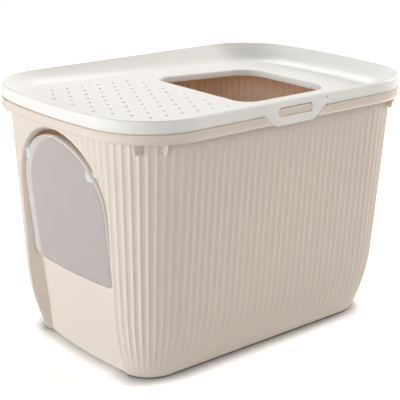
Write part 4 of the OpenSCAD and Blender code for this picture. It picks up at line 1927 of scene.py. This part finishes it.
@dataclass
class DoorFlap:
    """Bowed translucent flap with a turned-in edge, hung from two pins."""

    radius: float = 99.5
    arch_drop: float = 58.0
    drop: float = 167.5
    corner: float = 12.0
    thick: float = 2.0
    edge: float = 10.0
    face_z: float = 12.2
    front_round: float = 2.5
    pin: float = 4.5
    pin_reach: float = 93.5
    collar: float = 5.5
    ear_span: tuple[float, float] = (7.0, -9.0)
    ear_inset: float = 0.9
    ear_proud: float = 0.45
    ear_depth: float = 1.0

    def ring(self, inset: float, z: float) -> Array:
        """Loop of the flap.

        Args:
            inset: distance by which it is moved in.
            z: height off the flap's bowed face, negative behind it.

        Returns:
            Array (n, 3) in the door's plane.
        """
        r = self.radius - inset
        angles = np.radians(np.linspace(0, 180, 97))
        points = [(r * math.cos(a), r * math.sin(a) - self.arch_drop) for a in angles]
        low, corner = -self.drop + inset, self.corner - inset
        side = np.linspace(-self.arch_drop, -self.drop + self.corner, 25)[1:]
        points += [(-r, y) for y in side]
        for a in np.radians(np.linspace(180, 270, 13))[1:]:
            points.append((-r + corner + corner * math.cos(a), low + corner + corner * math.sin(a)))
        foot = np.linspace(-self.radius + self.corner, self.radius - self.corner, 43)[1:]
        points += [(x, low) for x in foot]
        for a in np.radians(np.linspace(270, 360, 13))[1:]:
            points.append((r - corner + corner * math.cos(a), low + corner + corner * math.sin(a)))
        points += [(r, y) for y in side[::-1][1:]]
        flat = np.array(points)
        return np.column_stack([flat, self.bowed(flat[:, 0]) + z])

    def bowed(self, x: Array) -> Array:
        """Height of the flap's front face in the door's plane."""
        return self.face_z - (PLAN.end_radius - np.sqrt(PLAN.end_radius**2 - x**2))

    def build_pane(self) -> Object:
        """Builds the pane with its rounded front edge and turned-in rim.

        Returns:
            The piece; its edge_mm is the distance in from the edge, and -1 on the turned-in wall.
        """
        make = MeshBuilder()
        r, deep, t = self.front_round, self.edge, self.thick
        section = [(inset, 0.0) for inset in (9.0, 6.5, 5.2, 4.6, 4.0, 3.4)]
        angles = np.radians(np.linspace(0, 90, 8))
        section += [(r * (1 - math.sin(a)), -r * (1 - math.cos(a))) for a in angles]
        front = len(section)
        section += [(0.0, -deep + 0.6), (0.18, -deep + 0.18), (0.6, -deep), (t - 0.6, -deep)]
        section += [(t - 0.18, -deep + 0.18), (t, -deep + 0.6), (t, -t - 1.8)]
        section += [(t + 0.5, -t - 0.5), (t + 1.8, -t)]
        rings = make.loft([DOOR.to_world(self.ring(inset, z)) for inset, z in section])
        marks = [inset if i < front else -1.0 for i, (inset, _) in enumerate(section)]
        edge = [np.full(len(rings[0]), mark) for mark in marks]
        gx, gy = np.meshgrid(np.arange(-94, 95, 7.0), np.arange(-160, 40, 9.0))
        grid = np.stack([gx.ravel(), gy.ravel()], axis=1)
        for number, ring in ((0, rings[0]), (1, rings[-1])):
            flat = DOOR.from_world(make.points())[:, :2]
            loop = flat[ring]
            spots = grid[inside_loops(grid, [loop - loop_normals(loop) * 2.0])]
            depth = self.bowed(spots[:, 0]) - number * t
            added = make.add(DOOR.to_world(np.column_stack([spots, depth])))
            edge.append(np.full(len(added), 12.0))
            flat = DOOR.from_world(make.points())[:, :2]
            make.faces.append(fill_region(flat, [ring], added))
        return make.to_object("door_flap_pane", {"edge_mm": np.concatenate(edge)})

    def build_ears(self) -> Object:
        """Builds the flared boss that carries each pin, a little proud of the pane.

        Returns:
            The piece with both bosses.
        """
        make = MeshBuilder()
        top, low = self.ear_span
        front, back = self.ear_proud, -self.ear_depth
        heights = np.linspace(top, low, 9)
        rim = np.sqrt(self.radius**2 - (heights + self.arch_drop) ** 2) - self.ear_inset
        rounds = [0.8, *[0.3] * (len(heights) - 2), 0.8]
        outline = list(zip(rim, heights, rounds))
        outline += [(71.5, low, 1.5), (69.0, -1.0, 4.0), (70.0, top, 1.5)]
        loop = rounded_polygon(outline, 20.0)
        for side in (-1, 1):
            rings = []
            for pull, z in ((0.35, front), (0.12, 0.38), (0.0, 0.15), (0.0, back)):
                flat = loop - loop_normals(loop) * pull
                height = self.bowed(flat[:, 0]) + z
                rings.append(DOOR.to_world(np.column_stack([side * flat[:, 0], flat[:, 1], height])))
            made = make.loft(rings)
            middle = loop.mean(axis=0)
            for ring, z in ((made[0], front), (made[-1], back)):
                height = float(self.bowed(middle[0])) + z
                make.fan(ring, DOOR.to_world(np.array([side * middle[0], middle[1], height])))
        return make.to_object("door_flap_ears")

    def build_pins(self) -> Object:
        """Builds the two turned pins with their collars on the hinge axis.

        Returns:
            The piece with both pins.
        """
        make = MeshBuilder()
        angles = np.radians(np.arange(0, 360, 7.5))
        root = math.sqrt(self.radius**2 - self.arch_drop**2)
        pin, collar, end = self.pin, self.collar, self.pin_reach
        section = [(collar - 0.5, root - 5.0), (collar, root - 4.5), (collar, root + 0.1)]
        section += [(collar - 0.4, root + 0.5), (pin + 0.25, root + 0.5), (pin, root + 0.75)]
        section += [(pin, end - 0.7), (pin - 0.2, end - 0.2), (pin - 0.7, end)]
        for side in (-1, 1):
            rings = []
            for radius, x in section:
                ring = [np.full(len(angles), side * x), radius * np.cos(angles), radius * np.sin(angles)]
                rings.append(DOOR.to_world(np.stack(ring, axis=1)))
            made = make.loft(rings)
            for ring, x in ((made[0], section[0][1]), (made[-1], section[-1][1])):
                make.fan(ring, DOOR.to_world(np.array([side * x, 0.0, 0.0])))
        return make.to_object("door_flap_pins")


# ---- studio


# Colour of the two soft boxes that light the long front side.
WARM_WHITE = "#FFF8F4"


@dataclass(frozen=True)
class Lamp:
    """Soft box: where it stands, how big it is and how bright."""

    name: str
    place: tuple[float, float, float]
    size: float
    power: float
    colour: str = "#FFFFFF"


@dataclass
class Studio:
    """White studio with a soft key from the flap's end, and the camera of the photograph."""

    azimuth: float = -39.987
    elevation: float = 18.058
    roll: float = 0.522
    distance: float = 1769.08
    target: tuple[float, float, float] = (-27.85, 0.0, 199.38)
    lens: float = 101.857
    sensor: float = 36.0
    shift_x: float = 0.0252
    clip_end: float = 20.0
    world_level: float = 0.115
    floor_half: float = 2.4
    floor_shade: float = 0.9
    floor_gain: float = 1.95
    contact_reach: float = 0.032
    contact_power: float = 1.4
    aim: tuple[float, float, float] = (0.0, 0.0, 0.2)
    lamps: tuple[Lamp, ...] = (
        Lamp("key_front", (-4.619, -3.234, 2.152), 2.0, 80.0),
        Lamp("key_middle", (-5.942, -0.0, 0.935), 2.0, 58.0),
        Lamp("key_back", (-5.117, 2.954, 1.142), 2.0, 162.5),
        Lamp("fill_side", (4.166, -3.495, 2.636), 2.4, 70.3, WARM_WHITE),
        Lamp("fill_end", (5.355, -0.944, 2.636), 2.4, 250.0, WARM_WHITE),
        Lamp("back", (2.121, 3.674, 4.343), 2.6, 139.2),
    )

    def build(self) -> None:
        """Builds the world, floor, lamps and camera."""
        self.build_world()
        self.build_floor()
        for lamp in self.lamps:
            self.build_lamp(lamp)
        self.build_camera()
        bpy.context.scene.view_settings.view_transform = "Standard"

    def build_world(self) -> None:
        """White to the camera and in reflections, a plain level of light elsewhere."""
        world = bpy.data.worlds.new("studio")
        bpy.context.scene.world = world
        world.use_nodes = True
        tree = world.node_tree
        tree.nodes.clear()
        path = add_node(tree, "ShaderNodeLightPath")
        seen = add_node(
            tree,
            "ShaderNodeMath",
            {"Value": path.outputs["Is Camera Ray"], "Value_001": path.outputs["Is Glossy Ray"]},
            operation="MAXIMUM",
        )
        seen = add_node(
            tree,
            "ShaderNodeMath",
            {"Value": seen.outputs["Value"], "Value_001": path.outputs["Is Transmission Ray"]},
            operation="MAXIMUM",
        )
        light = add_node(
            tree, "ShaderNodeBackground", {"Color": (1, 1, 1, 1), "Strength": self.world_level}
        )
        white = add_node(tree, "ShaderNodeBackground", {"Color": (1, 1, 1, 1), "Strength": 1.0})
        mix = add_node(tree, "ShaderNodeMixShader", {"Fac": seen.outputs["Value"]})
        tree.links.new(light.outputs["Background"], mix.inputs[1])
        tree.links.new(white.outputs["Background"], mix.inputs[2])
        out = tree.nodes.new("ShaderNodeOutputWorld")
        tree.links.new(mix.outputs["Shader"], out.inputs["Surface"])

    def build_floor(self) -> None:
        """White floor that the camera sees lifted to paper white, with the object's shadow on it."""
        material = bpy.data.materials.new("paper_backdrop_matt")
        material.use_nodes = True
        tree = material.node_tree
        tree.nodes.clear()
        path = add_node(tree, "ShaderNodeLightPath")
        # The shadow where the bin meets the paper: open sky within contact_reach, made darker.
        open_sky = add_node(
            tree, "ShaderNodeAmbientOcclusion", {"Distance": self.contact_reach}, samples=12
        )
        contact = add_node(
            tree,
            "ShaderNodeMath",
            {"Value": open_sky.outputs["AO"], "Value_001": self.contact_power},
            operation="POWER",
        )
        paper = add_node(
            tree,
            "ShaderNodeMath",
            {"Value": contact.outputs["Value"], "Value_001": self.floor_gain},
            operation="MULTIPLY",
        )
        level = add_node(
            tree,
            "ShaderNodeMapRange",
            {
                "Value": path.outputs["Is Camera Ray"],
                "To Min": self.floor_shade,
                "To Max": paper.outputs["Value"],
            },
        )
        matt = add_node(tree, "ShaderNodeBsdfDiffuse", {"Color": level.outputs["Result"]})
        out = tree.nodes.new("ShaderNodeOutputMaterial")
        tree.links.new(matt.outputs["BSDF"], out.inputs["Surface"])
        mesh = bpy.data.meshes.new("floor")
        half = self.floor_half
        corners = [(-half, -half, 0), (half, -half, 0), (half, half, 0), (-half, half, 0)]
        mesh.from_pydata(corners, [], [(0, 1, 2, 3)])
        mesh.materials.append(material)
        floor = bpy.data.objects.new("floor", mesh)
        bpy.context.scene.collection.objects.link(floor)

    def build_lamp(self, lamp: Lamp) -> None:
        """Adds one soft box that looks at the middle of the object.

        Args:
            lamp: where it stands, how big it is and how bright.
        """
        light = bpy.data.lights.new(lamp.name, "AREA")
        light.shape = "DISK"
        light.size = lamp.size
        light.energy = lamp.power
        light.color = srgb_to_linear(lamp.colour)[:3]
        obj = bpy.data.objects.new(lamp.name, light)
        obj.location = lamp.place
        way = Vector(self.aim) - Vector(lamp.place)
        obj.rotation_euler = way.to_track_quat("-Z", "Y").to_euler()
        bpy.context.scene.collection.objects.link(obj)

    def build_camera(self) -> None:
        """Adds the camera fitted to the photograph's outlines."""
        az, el, roll = (math.radians(v) for v in (self.azimuth, self.elevation, self.roll))
        back = np.array([math.sin(az) * math.cos(el), -math.cos(az) * math.cos(el), math.sin(el)])
        right = np.array([math.cos(az), math.sin(az), 0.0])
        up = np.cross(back, right)
        rolled = right * math.cos(roll) + up * math.sin(roll)
        up = -right * math.sin(roll) + up * math.cos(roll)
        place = (np.array(self.target) + back * self.distance) * MM
        data = bpy.data.cameras.new("camera")
        data.lens = self.lens
        data.sensor_width = self.sensor
        data.shift_x = self.shift_x
        data.clip_end = self.clip_end
        camera = bpy.data.objects.new("camera", data)
        axes = Matrix((rolled, up, back)).transposed()
        camera.matrix_world = Matrix.Translation(place) @ axes.to_4x4()
        bpy.context.scene.collection.objects.link(camera)
        bpy.context.scene.camera = camera


# ---- the whole


@dataclass
class LitterBox:
    """The whole object: builds each moulding, then dresses it."""

    wall: BinWall = field(default_factory=BinWall)
    rim: BinRim = field(default_factory=BinRim)
    sockets: PinSockets = field(default_factory=PinSockets)
    lid: Lid = field(default_factory=Lid)
    latch: LatchShape = field(default_factory=LatchShape)
    flap: DoorFlap = field(default_factory=DoorFlap)

    def dress(self, piece: Object, node: str, body: Body, material: Material) -> None:
        """Gives a piece its finish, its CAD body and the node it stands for.

        Args:
            piece: the finished mesh.
            node: CAD node that it stands for.
            body: CAD body that it rides on.
            material: its finish.
        """
        piece.data.materials.clear()
        piece.data.materials.append(material)
        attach(piece, body.value)
        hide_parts(node)
        log.info("%s: %d points, %d faces", piece.name, len(piece.data.vertices), len(piece.data.polygons))

    def build(self) -> None:
        """Builds and dresses every piece."""
        beige, white = BIN_FINISH.material(), LID_FINISH.material()
        frosted, clear = FLAP_FINISH.material(), EAR_FINISH.material()
        bin_pieces = [
            self.wall.build(beige),
            self.rim.build_band(),
            self.rim.build_lugs(self.wall, beige),
            self.rim.build_seat("latch_seat_front", Side.FRONT),
            self.rim.build_seat("latch_seat_rear", Side.REAR),
            self.sockets.build(self.wall),
        ]
        for piece in bin_pieces:
            self.dress(piece, "bin", Body.BIN, beige)
        shell = self.lid.build_shell()
        subtract(shell, [self.lid.latch_room(side) for side in Side])
        self.lid.pierce(shell, white)
        self.dress(shell, "lid", Body.LID, white)
        front = self.latch.build("front_latch_tongue", Side.FRONT)
        self.dress(front, "front_latch", Body.FRONT_LATCH, white)
        rear = self.latch.build("rear_latch_tongue", Side.REAR)
        self.dress(rear, "rear_latch", Body.REAR_LATCH, white)
        self.dress(self.flap.build_pane(), "door_flap", Body.DOOR, frosted)
        for piece in (self.flap.build_pins(), self.flap.build_ears()):
            self.dress(piece, "door_flap", Body.DOOR, clear)


def main() -> None:
    """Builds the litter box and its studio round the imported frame."""
    logging.basicConfig(level=logging.INFO, format="%(name)s %(message)s")
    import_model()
    LitterBox().build()
    Studio().build()


if __name__ == "__main__":
    main()
